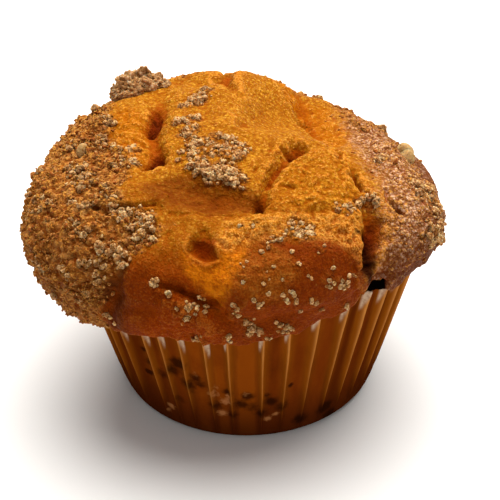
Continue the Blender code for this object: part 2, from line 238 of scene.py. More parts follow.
# (firmness, ((azimuth, percent, half-width, rise), ...)): chains that stand out or sink in
crownForms = (
    (3, ((250, 8, 9, 0.8), (20, 10, 8, 0.9))),
    (4, ((271, 56, 4.6, 1.2), (286, 54, 7.4, 1.6), (298, 55, 5.6, 1.3))),
    (2, ((297, 41, 3.2, 0.7), (305, 43, 3.2, 0.8), (310.5, 45, 1.8, 0.5))),
    (2.6, ((341, 24, 2.6, 1), (323, 27, 4.4, 1.6), (309, 34.5, 4.4, 1.5))),
    (4, ((268, 40, 2.4, 0.6), (281, 38, 2.6, 1), (291, 35, 2.8, 1.2), (300, 36.5, 2, 0.8))),
    (6, ((212, 35, 3, 0.6), (221, 33.5, 3.2, 1.1), (231, 31.5, 3, 1))),
    (5, ((250, 59.5, 2.6, 1.1), (256, 62, 3.6, 1.3), (261, 65, 3, 1), (267, 66, 2.4, 0.8))),
    (5, ((237, 65, 2.6, 1.3), (243, 64, 3, 1.4), (249, 66, 2.8, 1))),
    (4, ((190, 48, 9, 0.8), (205, 52, 9.5, 0.9), (215, 56, 7, 0.8))),
    (4, ((350, 46, 7, 0.7), (335, 50, 7.5, 0.8), (322, 54, 5, 0.7))),
    (4, ((20, 52, 6, 0.9), (35, 54, 6, 0.7))),
    (4, ((70, 38, 6, 1), (82, 36, 6, 0.8))),
    (5, ((105, 42, 6, 1), (118, 40, 5, 0.9))),
    (5, ((130, 58, 6, 0.9), (150, 57, 6, 0.9))),
    (2.4, ((122, 37, 2.6, -0.6), (141, 25, 2.8, -2.2), (170, 20, 2.6, -2.4), (207, 20.7, 2.2, -2),
        (214, 24, 1.6, -0.5))),
    (3, ((142, 26, 0.9, -1), (157, 22, 1, -3.2), (167, 20.8, 0.7, -2))),
    (2.4, ((190, 18, 1, -0.6), (206, 20, 1.5, -2.4), (212, 23, 0.8, -0.8))),
    (2.4, ((228, 27, 2.4, -0.5), (245, 26, 3.4, -1.7), (262, 28.5, 3.6, -2.1), (281, 31.4, 1.8, -1.2))),
    (3, ((344, 17.2, 2.3, -3.2), (332, 16, 1.8, -3))),
    (2.4, ((332, 16, 1.4, -2), (312, 18.3, 1.2, -2.2), (297, 22.3, 1.1, -2.2), (286, 27, 1.1, -2),
        (282, 31.5, 1.2, -2.4), (283, 35, 0.9, -0.8))),
    (3, ((215, 38.8, 0.7, -0.8), (222, 37.2, 0.8, -1.6), (229, 35.6, 0.7, -1.1), (237, 33.4, 0.5, -0.2))),
    (2.4, ((68, 44, 3, -0.8), (58, 38, 3.4, -1.6), (38, 31, 3.4, -1.6), (9, 28, 2.4, -0.8))),
    (3, ((66, 44.5, 1.4, -0.8), (60, 41.5, 1.4, -0.8))),
    (2.4, ((352, 25, 0.7, -0.8), (336, 28.8, 0.9, -2.4), (327, 33.6, 0.9, -2.6), (323, 38, 0.9, -1.4))),
    (4, ((319, 42, 1.5, -1.2), (315.8, 45.6, 2.1, -3.2), (311.3, 49.8, 2.1, -4), (307, 54.2, 1.6, -3.8),
        (304, 58.5, 1.1, -3.2))),
    (2.4, ((291, 35.5, 0.8, -0.2), (299, 38.8, 1.4, -0.3), (306, 40, 1.4, -0.3), (312, 41, 1.1, -0.5))),
    (3, ((258.3, 42, 1.7, -1.1), (258, 44.8, 2.1, -2.3))),
    (2.4, ((245, 53, 1, -0.6), (251, 54.4, 1.2, -1.6), (256.5, 56.8, 1.3, -2.2), (261, 59.4, 1.3, -2.4),
        (265, 63, 1.1, -1.2))),
    (2.4, ((236, 50, 2, -0.6), (234, 55, 2.6, -2), (233, 59, 2.3, -2.5), (231.5, 64, 1.7, -2.3))),
    (2.4, ((88, 22, 1.2, -0.8), (96, 32, 1.6, -2.6), (94, 42, 1.4, -2.2), (100, 50, 1, -0.8))),
    (2.4, ((120, 46, 1, -0.6), (132, 50, 1.3, -1.8), (146, 49, 1.1, -1.4), (158, 52, 0.9, -0.6))),
    (2.4, ((70, 54, 0.9, -0.6), (78, 58, 1.2, -1.8), (86, 57, 1, -1.2))),
)

# the same clefts and hollows drawn sharper, and the small ones that the solids leave out
fineForms = (
    (6, ((142, 26.5, 0.5, -0.8), (149.5, 23.8, 0.6, -1.4), (158, 21.6, 0.7, -1.8), (167, 20.5, 0.4, -1))),
    (5, ((197, 17.6, 0.5, -0.8), (203, 19.2, 0.9, -2), (209, 20.9, 0.8, -2), (214, 22.7, 0.4, -1))),
    (8, ((256.4, 44.2, 1.2, -0.7), (260.2, 44.3, 1.2, -0.7), (258.6, 45.8, 1, -0.6))),
    (4, ((253.2, 44.2, 0.5, 0.3), (255.8, 46.9, 0.6, 0.5), (259.3, 48.6, 0.7, 0.6), (262.4, 47.1, 0.6, 0.6),
        (263.4, 44, 0.6, 0.4))),
    (4, ((329, 40.5, 0.4, -0.6), (325.4, 43.3, 0.6, -1.4), (325.4, 45.8, 0.6, -1.6),
        (323.8, 48.6, 0.55, -1.6), (323.5, 51.2, 0.5, -1.2), (322.5, 53.8, 0.3, -0.4))),
    (4, ((345, 43.5, 0.3, -0.3), (340, 44.6, 0.4, -0.7), (336, 47.5, 0.4, -0.7), (333, 50.5, 0.3, -0.3))),
    (4, ((2, 26.5, 0.35, -0.5), (340, 27.8, 0.5, -1.4), (332, 30.8, 0.5, -1.8), (327, 34.2, 0.55, -2),
        (323, 38, 0.6, -2), (321, 40.4, 0.5, -1.2))),
    (4, ((317, 17.7, 0.4, -0.6), (307, 19.5, 0.5, -1.2), (297, 22.5, 0.45, -1.4), (290, 25.4, 0.45, -1.4),
        (286, 27.9, 0.4, -1))),
    (4, ((283, 29.6, 0.35, -0.8), (282, 31.6, 0.45, -1.6), (281, 34.2, 0.4, -1.2),
        (282.5, 35.6, 0.3, -0.6))),
    (6, ((311.4, 47.6, 0.6, -0.8), (309.8, 50.6, 0.8, -1.8), (308, 54.4, 0.8, -1.8),
        (306, 57.8, 0.6, -1.4))),
    (5, ((213, 39, 0.3, -0.5), (222, 37, 0.4, -1.2), (229, 35.5, 0.35, -0.9), (238, 33.4, 0.25, -0.4))),
    (5, ((244.5, 53.7, 0.4, -0.6), (251.5, 55, 0.5, -1), (258, 57.4, 0.6, -1.3), (263, 61.4, 0.6, -1.5),
        (265.5, 64, 0.4, -0.8))),
    (3, ((68, 43, 1.4, -0.4), (57, 36, 1.6, -0.5), (44, 30, 1.4, -0.5), (25, 28, 1.2, -0.4))),
    (5, ((239, 34.8, 0.5, -0.25), (255, 34.2, 0.5, -0.35), (271, 34.4, 0.5, -0.35),
        (279, 34.4, 0.4, -0.3))),
    (3, ((315, 13, 0.8, -0.5), (318, 12, 0.8, -0.5))),
    (3, ((295, 15, 0.6, -0.5), (291, 18, 0.7, -0.7), (286, 20, 0.6, -0.4))),
    (3, ((296, 27, 0.5, -0.6), (299, 28.5, 0.5, -0.6))),
    (3, ((309, 26, 0.4, -0.5), (306, 27.5, 0.5, -0.7), (303, 28, 0.4, -0.4))),
    (3, ((247, 41, 1, -0.4), (249, 46, 0.6, -0.3))),
    (3, ((122, 43, 3.5, -0.7), (114, 40, 4, -1.4), (106, 35.5, 3.5, -1.5))),
    (3, ((92, 40, 3.5, 0.2), (80, 40, 4.5, 0.5))),
    (3, ((33, 51, 4.5, -0.9), (15, 57.5, 5.5, -1.3), (5, 58, 5.5, -1.3), (351, 54.5, 4.5, -0.8))),
    (3, ((335, 62, 4, -0.6), (329, 65.5, 4, -1.8), (320, 67.5, 4, -1.4))),
)
# where no light gets in: the rise is how dark
coreForms = (
    (4, ((311.4, 47.2, 0.5, 0.9), (309.9, 50.4, 0.9, 1), (308.9, 52.6, 0.9, 1), (307.7, 55.2, 0.85, 1),
        (306.3, 57.8, 0.8, 1), (304.9, 60.2, 0.7, 1), (305, 63.5, 0.5, 0.9))),
    (4, ((308.6, 47.4, 0.45, 0.9), (307.4, 46.6, 0.4, 0.8))),
    (3, ((236, 52, 1.2, 0.4), (235.5, 56, 2.2, 0.6), (235, 60, 2.6, 0.7), (234, 65, 2.4, 0.6))),
    (4, ((147, 25, 0.4, 0.4), (154, 22.6, 0.6, 0.9), (160, 21.2, 0.5, 0.7))),
    (4, ((205, 19.6, 0.4, 0.4), (212, 22, 0.5, 0.6))),
    (4, ((332, 30.8, 0.35, 0.5), (327, 34.2, 0.4, 0.8), (323, 38, 0.4, 0.7))),
    (4, ((282, 31.6, 0.3, 0.6), (281, 34.2, 0.3, 0.6))),
    (4, ((326.2, 43, 0.3, 0.5), (325.4, 45.8, 0.4, 0.8), (323.8, 48.6, 0.4, 0.8), (323.5, 51.2, 0.3, 0.5))),
    (4, ((222, 37.2, 0.3, 0.5), (229, 35.7, 0.3, 0.5))),
    (4, ((255, 56.4, 0.3, 0.3), (261, 59.9, 0.5, 0.6), (264.5, 63.3, 0.4, 0.4))),
)
ledgeEdge = (
    (286, 38, 1.5, 0.8), (295, 40, 1.8, 1), (303, 42, 1.8, 1), (310, 43.5, 1.6, 1), (316, 43, 1.2, 0.8),
)
tornEdge = (
    (304, 46, 1.4, 1), (302.6, 50, 1.5, 1), (301.6, 55, 1.5, 1), (301.4, 60, 1.5, 1), (301.8, 65, 1.2, 1),
)
holeForm = ((303.6, 69.8, 0.7, 1), (306.2, 69.4, 1.2, 1), (309.4, 69.6, 1.7, 1), (310.4, 73.5, 1.5, 1))

# the crown's different surfaces, and the places where light and shade are painted: corners on the crown, how
# soft the outline is and how far it wanders
regions = {
    "leftFlank": (((135, 47), (154.5, 35.5), (175.5, 30.7), (190, 25.5), (204.8, 24.7), (214, 31),
        (222, 35), (230, 37), (243, 39), (243, 42.8), (238.5, 46), (236, 51), (232, 56), (230, 60),
        (229.5, 66), (226, 80), (205, 82), (180, 82), (155, 82), (135, 82)), 2, 1),
    "rightFlank": (((60, 54), (27, 36.5), (352.5, 32.4), (340, 35.5), (322, 43.4), (313, 51.8), (308, 57),
        (305, 61), (305, 80), (330, 82), (0, 82), (30, 82), (60, 82)), 4.5, 1),
    "backFlank": (((60, 54), (75, 46), (90, 50), (105, 44), (120, 48), (135, 47), (135, 82), (110, 82),
        (85, 82), (60, 82)), 2.6, 1),
    "soft": (((150, 33), (152, 28), (165, 21), (190, 20), (207, 22), (212, 27), (205, 24), (190, 26),
        (176, 31), (162, 34)), 1.6, 0.5),
    "softStrip": (((72, 47), (52, 44), (30, 37), (5, 31), (5, 26), (38, 27), (60, 34), (76, 41)), 1.6, 0.5),
    "threeCorner": (((334, 17.7), (348, 25.3), (331, 31.2), (321, 41), (310.5, 40.4), (295.5, 36.6),
        (285, 33.6), (296, 26.4), (311, 19.9)), 1, 0.3),
    "crumbZone": (((266, 37), (285, 37), (300, 40), (314, 43), (308, 50), (303, 54), (299, 48), (291, 45.8),
        (283.5, 43.8), (275, 42.8), (268, 45.8), (262, 44)), 1.6, 0.5),
    "frontCrust": (((266, 51), (268, 45), (275, 42.8), (283.5, 43.8), (291, 45.8), (299, 48), (303, 54),
        (303, 76), (285, 80), (262, 80), (263, 62)), 3.2, 1.5),
    # a duller band below the dome: partly its own crust, partly painted shade under the crumb clusters
    "band": (((222, 28), (230, 22), (245, 19), (262, 20), (274, 23.5), (283, 29), (281, 34.3), (263, 34),
        (247, 34), (236, 32.5), (227, 31)), 1.8, 0.3),
    "rubble": (((266, 44.1), (270.5, 42.6), (275.5, 43.9), (280, 46.8), (284, 50), (285, 53.6),
        (280.5, 57.3), (276.5, 59.3), (271.5, 57), (268, 55.2), (266, 51.8)), 1.6, 0.8),
    # painted light on the pocket's right wall
    "flame": (((316.5, 43.8), (320, 44.5), (318.4, 48.4), (315.6, 51.8), (312.5, 54.8), (309.2, 58),
        (308.6, 55.6), (310.6, 52), (312.6, 49)), 0.9, 0.2),
    # painted light on the crater's lit rim and below it
    "amber": (((252.2, 45.5), (255.5, 48.3), (259.7, 49.8), (263.3, 48.4), (265.1, 45.5), (267.7, 42.9),
        (272.2, 43), (271.7, 47.1), (268.4, 51.1), (266, 55.1), (263.3, 58.9), (260.5, 56.4), (257.5, 53.6),
        (253.8, 50.4)), 1.4, 0.2),
    "floor": (((254.4, 41.8), (258, 40.8), (262.6, 42.5), (262.5, 44.8), (258.8, 45.6),
        (255.7, 43.8)), 0.9, 0.2),
    # painted shadow on the lower-left shelf
    "scorch": (((229, 55), (236, 51.1), (242.8, 51), (248.1, 53.9), (250, 57.5), (244.4, 61.6), (240, 67),
        (236, 74), (228, 74)), 2.4, 0.5),
    "flap": (((243, 54), (251, 55), (257, 58), (262, 61), (265, 66), (264, 76), (247, 76),
        (247, 62)), 1.2, 0.4),
}


def caseRadius(height):
    rounded = np.clip(1 - height / case["corner"], 0, 1)
    return case["baseRadius"] + case["slope"] * height - 0.9 * case["corner"] * rounded**2


def rimHeight(azimuth):
    place, width, depth = case["nick"]
    middle, across, deep = case["notch"]
    torn = deep * np.exp(-(((azimuth - middle) / across) ** 4))
    return case["height"] - depth * np.exp(-(((azimuth - place) / width) ** 2)) - torn


def grooveRadius(height):
    return caseRadius(height) + case["foldHeight"] + crown["gap"]


def roundTheCrown(values, azimuth):
    place = np.asarray(azimuth) / (360.0 / len(values))
    first = np.floor(place).astype(int)
    f = place - first
    a, b, c, d = (np.take(values, first + k, mode="wrap") for k in (-1, 0, 1, 2))
    return b + 0.5 * f * (c - a + f * (2 * a - 5 * b + 4 * c - d + f * (3 * (b - c) + d - a)))


def domeOutline():
    turn = np.linspace(0.0, math.pi / 2, 400)
    radius = np.sin(turn) ** (2 / crown["fullness"])
    height = np.cos(turn) ** (2 / crown["fullness"])
    wide, tall = np.mean(crown["reach"]), crown["peak"] - np.mean(crown["waist"])
    legs = np.hypot(np.diff(radius) * wide, np.diff(height) * tall)
    length = np.concatenate([[0.0], np.cumsum(legs)])
    return length / length[-1], radius, height


domeShare, domeRadius, domeHeight = domeOutline()


def cakeOutline(azimuth, along):
    reach, waist, lip, sag = (roundTheCrown(crown[key], azimuth) for key in ("reach", "waist", "edge", "sag"))
    domeEnd, lipEnd, grooveEnd, wallEnd = crown["ends"]
    place, width, _ = case["nick"]
    lip = lip + (case["height"] - 0.4 - lip) * np.exp(-(((azimuth - place) / width) ** 2))
    rim = np.maximum(rimHeight(azimuth) + crown["gap"], lip)
    floor = crown["wallInset"]
    wallTop = caseRadius(np.minimum(rim, case["height"])) - crown["wallInset"]
    wallFoot = caseRadius(floor) - crown["wallInset"]
    lipRadius = grooveRadius(lip) + crown["lip"]

    share = np.clip(along / domeEnd, 0, 1)
    rise = np.interp(share, domeShare, domeHeight)
    radius = reach * np.interp(share, domeShare, domeRadius)
    height = waist + (crown["peak"] - waist) * rise - sag * np.sin(math.pi * share)
    curl = np.clip((along - domeEnd) / (lipEnd - domeEnd), 0, 1) * math.pi / 2
    onLip = along > domeEnd
    radius = np.where(onLip, lipRadius + (reach - lipRadius) * np.cos(curl), radius)
    height = np.where(onLip, waist - (waist - lip) * np.sin(curl), height)

    leg = (along - lipEnd) / (grooveEnd - lipEnd)
    level = lip + (rim - lip) * np.clip((leg - 0.15) / 0.5, 0, 1)
    inner = grooveRadius(level) + crown["lip"] * (1 - np.clip(leg / 0.15, 0, 1))
    inner += (wallTop - grooveRadius(rim)) * np.clip((leg - 0.65) / 0.35, 0, 1)
    radius = np.where(along > lipEnd, inner, radius)
    height = np.where(along > lipEnd, level, height)

    down = np.clip((along - grooveEnd) / (wallEnd - grooveEnd), 0, 1)
    across = np.clip((along - wallEnd) / (1 - wallEnd), 0, 1)
    radius = np.where(along > grooveEnd, (wallTop + (wallFoot - wallTop) * down) * (1 - across), radius)
    height = np.where(along > grooveEnd, rim + (floor - rim) * down, height)

    turn = np.radians(azimuth)
    points = np.stack([radius * np.cos(turn), radius * np.sin(turn), height], axis=-1)
    drop = np.where(onLip, waist - lip + 2, crown["peak"] - waist)
    out = points * np.stack([reach**-2.0, reach**-2.0, 0 * reach], axis=-1)
    out[:, 2] = (height - waist) / drop**2
    out /= np.linalg.norm(out, axis=1)[:, None]
    points[:, :2] += np.where(onLip, 0, rise)[:, None] * crown["peakOffset"]
    return points, out


def spot(azimuth, percent):
    return cakeOutline(np.array([float(azimuth)]), np.array([percent / 100.0]))[0][0]


def formRise(points, firmness, chain):
    stations = [spot(azimuth, percent) for azimuth, percent, _, _ in chain]
    closest = np.full(len(points), 1e9)
    rise = np.zeros(len(points))
    for start, end, one, other in zip(stations, stations[1:], chain, chain[1:]):
        leg = end - start
        share = np.clip((points - start) @ leg / (leg @ leg), 0, 1)
        width = one[2] + (other[2] - one[2]) * share
        distance = np.linalg.norm(points - start - share[:, None] * leg, axis=1) / width
        nearer = distance < closest
        closest = np.where(nearer, distance, closest)
        rise = np.where(nearer, one[3] + (other[3] - one[3]) * share, rise)
    return rise * np.exp(-(closest**firmness))


def waver(points, size, seed):  # smooth noise from -1 to 1
    shift = Vector((seed * 17.3, seed * 5.1, seed * 11.7))
    return np.array([noise.noise(Vector(point) / size + shift) for point in points])


def wavers(points, size, *seeds):
    return np.stack([waver(points, size, seed) for seed in seeds], axis=-1)


def lumps(points, size, seed):  # rounded grains with creases between, from -1 to 1
    shift = Vector((seed * 7.9, seed * 13.7, seed * 3.3))
    nearest = np.array([noise.voronoi(Vector(point) / size + shift)[0][0] for point in points])
    return 1 - 2 * np.clip(nearest, 0, 1)


def smooth(value, low, high):
    share = np.clip((value - low) / (high - low), 0, 1)
    return share * share * (3 - 2 * share)


def flatPlace(azimuth, percent):
    turn = np.radians(azimuth)
    return np.stack([percent * np.cos(turn), percent * np.sin(turn)], axis=-1)


def inRegion(place, name, ragged):  # 1 inside, 0 outside, soft at the outline
    corners, blur, wander = regions[name]
    corners = np.array([flatPlace(*corner) for corner in corners])
    distance = np.full(len(place), 1e9)
    inside = np.zeros(len(place), bool)
    for start, end in zip(corners, np.roll(corners, -1, axis=0)):
        leg = end - start
        share = np.clip((place - start) @ leg / (leg @ leg), 0, 1)
        distance = np.minimum(distance, np.linalg.norm(place - start - share[:, None] * leg, axis=1))
        crosses = (start[1] > place[:, 1]) != (end[1] > place[:, 1])
        inside ^= crosses & (place[:, 0] < start[0] + leg[0] * (place[:, 1] - start[1]) / (leg[1] + 1e-9))
    return smooth(np.where(inside, distance, -distance) + ragged * wander, -blur, blur)


def ballOfTriangles(frequency):
    ball = bmesh.new()
    bmesh.ops.create_icosphere(ball, subdivisions=1, radius=1)
    corners = np.array([vertex.co for vertex in ball.verts])
    faces = [[vertex.index for vertex in face.verts] for face in ball.faces]
    ball.free()
    step = np.arange(frequency + 1)
    rows, columns = np.meshgrid(step, step, indexing="ij")
    kept = rows + columns <= frequency
    number = np.full(rows.shape, -1)
    number[kept] = np.arange(kept.sum())
    one, two = rows[kept] / frequency, columns[kept] / frequency
    up = kept[:-1, :-1] & kept[1:, :-1] & kept[:-1, 1:]
    down = up & kept[1:, 1:]
    a, b, c, d = number[:-1, :-1], number[1:, :-1], number[:-1, 1:], number[1:, 1:]
    upright, turned = np.stack([a[up], b[up], c[up]], -1), np.stack([b[down], d[down], c[down]], -1)
    patch = np.concatenate([upright, turned])
    points, triangles = [], []
    for face in faces:
        first, second, third = corners[face]
        triangles.append(patch + len(points) * len(one))
        points.append(first + one[:, None] * (second - first) + two[:, None] * (third - first))
    points = np.concatenate(points)
    points /= np.linalg.norm(points, axis=1)[:, None]
    rounded = np.round(points * 1e5).astype(int)
    _, kept, index = np.unique(rounded, axis=0, return_index=True, return_inverse=True)
    return points[kept], index.reshape(-1)[np.concatenate(triangles)]


def meshPiece(name, points, faces, finish, **layers):
    mesh = bpy.data.meshes.new(name)
    mesh.from_pydata((points * metres).tolist(), [], faces.tolist())
    mesh.shade_smooth()
    for key, values in layers.items():
        mesh.attributes.new(key, "FLOAT", "POINT").data.foreach_set("value", np.asarray(values, np.float32))
    mesh.materials.append(finish)
    made = bpy.data.objects.new(name, mesh)
    scene.collection.objects.link(made)
    return made


def normalsOf(piece):
    normals = np.empty(len(piece.data.vertices) * 3, np.float32)
    piece.data.vertices.foreach_get("normal", normals)
    return normals.reshape(-1, 3).astype(float)


cakeRelief = {"pebble": 0.36, "fine": 0.20, "torn": 0.6}
cakeLook = tinted({
    # some colours here stand in for light and shade: a darker gold, red-browns and near-blacks are painted
    # shade in hollows, clefts, the lower front and the lower-left shelf; bright golds are painted highlights
    # on specks, ridges, the crater's rim and the pocket's wall
    "gold": (154, 91, 7), "shadedGold": (132, 64, 2), "bright": (230, 164, 72), "glint": (196, 114, 24),
    "soft": (172, 94, 0), "dull": (104, 42, 0), "golden": (162, 90, 24), "crease": (84, 38, 12),
    "hollowShade": (142, 58, 0), "deep": (104, 32, 0), "core": (46, 14, 1), "flame": (246, 130, 6),
    "scorch": (66, 20, 3), "amber": (204, 114, 8), "umber": (84, 33, 6), "tooth": (52, 26, 10),
    # grains stuck together: dark gaps, middle and light
    "bed": ((0.1, (72, 30, 5)), (0.4, (122, 67, 20)), (0.8, (178, 118, 58))),
    "cream": ((0.05, (128, 80, 36)), (0.3, (180, 132, 82)), (0.68, (224, 186, 136))),
    "dullCream": ((0.06, (116, 74, 36)), (0.3, (170, 124, 74)), (0.65, (220, 180, 128))),
    "mound": ((0.05, (128, 86, 46)), (0.3, (170, 126, 80)), (0.7, (220, 184, 140))),
    "stone": ((0.1, (150, 114, 66)), (0.4, (184, 148, 96)), (0.8, (204, 170, 118))),
    "brown": ((0.1, (116, 60, 18)), (0.35, (160, 98, 40)), (0.7, (202, 146, 82))),
    "dough": ((0.1, (108, 54, 16)), (0.35, (148, 90, 36)), (0.75, (188, 132, 72))),
    "sugar": ((0.05, (94, 46, 20)), (0.35, (150, 97, 60)), (0.7, (228, 188, 154))),
    "rubble": ((0.1, (96, 38, 4)), (0.4, (142, 70, 8)), (0.75, (200, 128, 44))),
    # a browner crust that also stands in for shade low on the front, under the lip and on the lower flanks
    "toast": ((0.15, (86, 26, 0)), (0.45, (118, 39, 0)), (0.85, (152, 64, 4))),
    "crust": ((0, (136, 72, 4)), (0.35, (158, 95, 8)), (0.9, (212, 152, 44))),
})


def cakeFinish():
    look = cakeLook
    finish = Finish("bakedCrown", Roughness=0.7, Specular_IOR_Level=0.05, Specular_Tint=(1, 0.62, 0.25),
                    Subsurface_Weight=0.3, Subsurface_Radius=(1.0, 0.45, 0.12), Subsurface_Scale=0.8 * metres)
    crumble, torn, toast, grit, hollow, sunk, burnt, rosy, plain, dull = finish.layers(
        "crumble", "torn", "toast", "grit", "hollow", "sunk", "burnt", "rosy", "plain", "dull")
    core, rubble, flame, amber, floor, front, grainy, scorch, stuck = finish.layers(
        "core", "rubble", "flame", "amber", "floor", "front", "grainy", "scorch", "stuck")
    broad, middle, fine = finish.cloud(7, 2, 1), finish.cloud(1.6, 3, 2), finish.cloud(0.5, 2, 3)
    specks, mottle = finish.cloud(0.36, 1, 4), middle + fine * 0.5
    crusty, crustRise = finish.meal(0.6, 11, *look["crust"])
    doughy, doughRise = finish.meal(1.3, 13, *look["dough"])
    sugary, sugarRise = finish.meal(0.5, 15, *look["sugar"])
    mealy, mealRise = finish.meal(0.8, 12, *look["bed"])
    relief = finish.cloud(0.9, 3, 8) * 0.6 + crustRise * 0.35 * (1 - plain * 0.4) + fine * 0.7
    patch = finish.step(stuck + (fine + middle - 1) * 0.8, 0.22, 0.5)
    sunkUnevenly = sunk + (middle + fine - 1) * 0.35
    toasty = finish.ramp(middle * 0.5 + specks * 0.7 - 0.1, *look["toast"])
    rubbly = finish.ramp(middle * 0.5 + specks * 0.8 - 0.2, *look["rubble"])
    fresh = finish.blend(finish.step(middle + fine * 0.6, 0.5, 0.95), look["gold"], look["soft"])
    moist = finish.step(sunk, 0.04, 0.35) * torn * finish.step(middle + fine * 0.4, 0.5, 0.9)
    # painted highlights: light specks, and ridges catching light
    shine = finish.step(specks - hollow * 0.15, 0.58, 0.74) * (1 - toast * 0.85) * (1 - plain * 0.5)
    ridge = finish.step(hollow, -0.3, -1.0) * 0.4 * (1 - crumble) * (1 - toast * 0.8)
    pits = finish.step(finish.cloud(0.55, 2, 7) - hollow * 0.1, 0.36, 0.27)
    teeth = finish.step(finish.cloud(0.45, 1, 14), 0.70, 0.76) * (crumble * 0.9 + patch * 0.3)
    flank = finish.coats(
        doughy,
        (finish.step(finish.cloud(3.4, 3, 5) + fine * 0.3, 0.6, 0.85) * 0.6, look["golden"]),
        (rosy * 0.9, sugary),
        # painted shade in the creases between the grains
        (finish.step(grit, 0.0, -0.8) * 0.35, look["crease"]),
        # browner and darker low on the flanks: partly toasting, partly painted shade
        (toast * 0.8, look["umber"]),
    )
    colour = finish.coats(
        # the golden crust and what it tore open to
        crusty,
        (finish.step(broad + middle * 0.7 + fine * 0.6, 0.8, 1.5) * 0.4, look["gold"]),
        # painted shade on the front-facing lower slope of the dome
        (plain * 0.45, look["shadedGold"]),
        (torn * 0.75, fresh),
        # the browner front: partly baked browner, partly painted shade on the lower front and under the lip
        (toast, toasty),
        # painted shadow on the lower-left shelf
        (scorch * (0.1 + middle * 0.5), look["scorch"]),
        (rubble * 0.85, rubbly),
        (front * 0.35, look["umber"]),
        # painted light on the crater's rim
        (amber * finish.step(mottle, 0.4, 0.9) * 0.8, look["amber"]),
        (grainy * finish.step(specks + middle * 0.4, 0.55, 0.8) * 0.5, look["bright"]),
        # painted shade in the relief's low places
        (finish.step(relief, 0.74, 0.56) * 0.3, look["hollowShade"]),
        # painted highlight on the relief's high places
        (finish.step(relief, 0.84, 1.0) * 0.5 * (1 - toast * 0.7), look["bright"]),
        # the crumbly sides and the crust under the streusel
        (crumble * 0.94, flank),
        (patch * 0.92 * (1 - toast * 0.8), mealy),
        # painted highlights on specks and ridges; dark pores, and painted shade in hollows and clefts
        (shine * 0.5, look["bright"]),
        (ridge, look["glint"]),
        (pits * (0.5 + crumble * 0.3) * (1 - plain * 0.2), look["deep"]),
        (finish.step(hollow, 0.1, 0.9) * 0.5 * (1 - crumble * 0.5), look["hollowShade"]),
        (moist * 0.8, look["soft"]),
        (finish.step(sunkUnevenly, 0.12, 0.5) * 0.75, look["hollowShade"]),
        (finish.step(sunkUnevenly, 0.5, 0.95), look["deep"]),
        (floor * 0.85, look["toast"][1][1]),
        # painted shade in the clefts of the crumbly sides
        (finish.step(sunk, 0.04, 0.3) * crumble * 0.8, look["crease"]),
        # the duller band: partly its own crust, partly painted shade, more in hollows
        (dull * (0.5 + finish.step(mottle - hollow * 0.2, 1.1, 0.5) * 0.4), look["dull"]),
        # painted light on the pocket's right wall, then painted near-black shade where no light gets in
        (flame * finish.step(mottle, 0.45, 0.9), look["flame"]),
        (core, look["core"]),
        (teeth * 0.7, look["tooth"]),
    )
    # painted shade: the pocket and the hole under the crown are turned black
    finish.blacken(burnt)
    height = relief + specks * (0.4 + toast * 0.3) + crumble * (doughRise * 0.3 + rosy * sugarRise * 0.4)
    return finish.show(colour, height + patch * mealRise * 0.8, 0.42)


def averaged(values, faces, rounds):  # each value drawn towards its neighbours'
    ends = np.concatenate([faces[:, [0, 1]], faces[:, [1, 2]], faces[:, [2, 0]]])
    ends = np.unique(np.sort(ends, axis=1), axis=0)
    one, two = np.concatenate([ends, ends[:, ::-1]]).T
    count = len(values)
    degree = np.bincount(one, minlength=count)
    for _ in range(rounds):
        columns = np.atleast_2d(values.T)
        totals = [np.bincount(one, weights=column[two], minlength=count) for column in columns]
        values = (values + np.reshape((np.array(totals) / degree).T, values.shape)) / 2
    return values


def hollowness(points, faces, normals, rounds, depth):  # above 0 in a hollow, below 0 on a ridge
    inward = ((averaged(points, faces, rounds) - points) * normals).sum(axis=1)
    return np.clip(inward / depth, -1, 1)


def reliefOfSolids(points, faces):  # with what is raised and what is sunk kept apart
    wander = wavers(points, 5, 1, 2, 3)
    bent = points + 1.1 * wander + 0.5 * wavers(points, 1.7, 11, 12, 13)
    bent += 0.22 * wavers(points, 0.8, 14, 15, 16)
    rise = 0.6 * waver(points, 9, 4) + 0.5 * waver(points, 4, 5)
    sunk = np.zeros(len(points))
    for firmness, chain in crownForms + fineForms:
        lift = formRise(bent, firmness, chain)
        rise += lift
        sunk += np.maximum(0, -lift)
    steep = smooth(sunk, 0.8, 2.2)
    rise += steep * (averaged(rise, faces, 6) - rise)
    sunk += steep * (averaged(sunk, faces, 8) - sunk)
    ledge = 0.3 + 0.7 * waver(points, 1.7, 47) + 0.5 * waver(points, 0.9, 48)
    tear = 0.8 * waver(points, 1.5, 45) + 0.7 * waver(points, 0.8, 46)
    rise += formRise(points, 2.4, ledgeEdge) * ledge
    rise += formRise(points, 3, tornEdge) * tear
    return points + 0.25 * wander, bent, rise, sunk


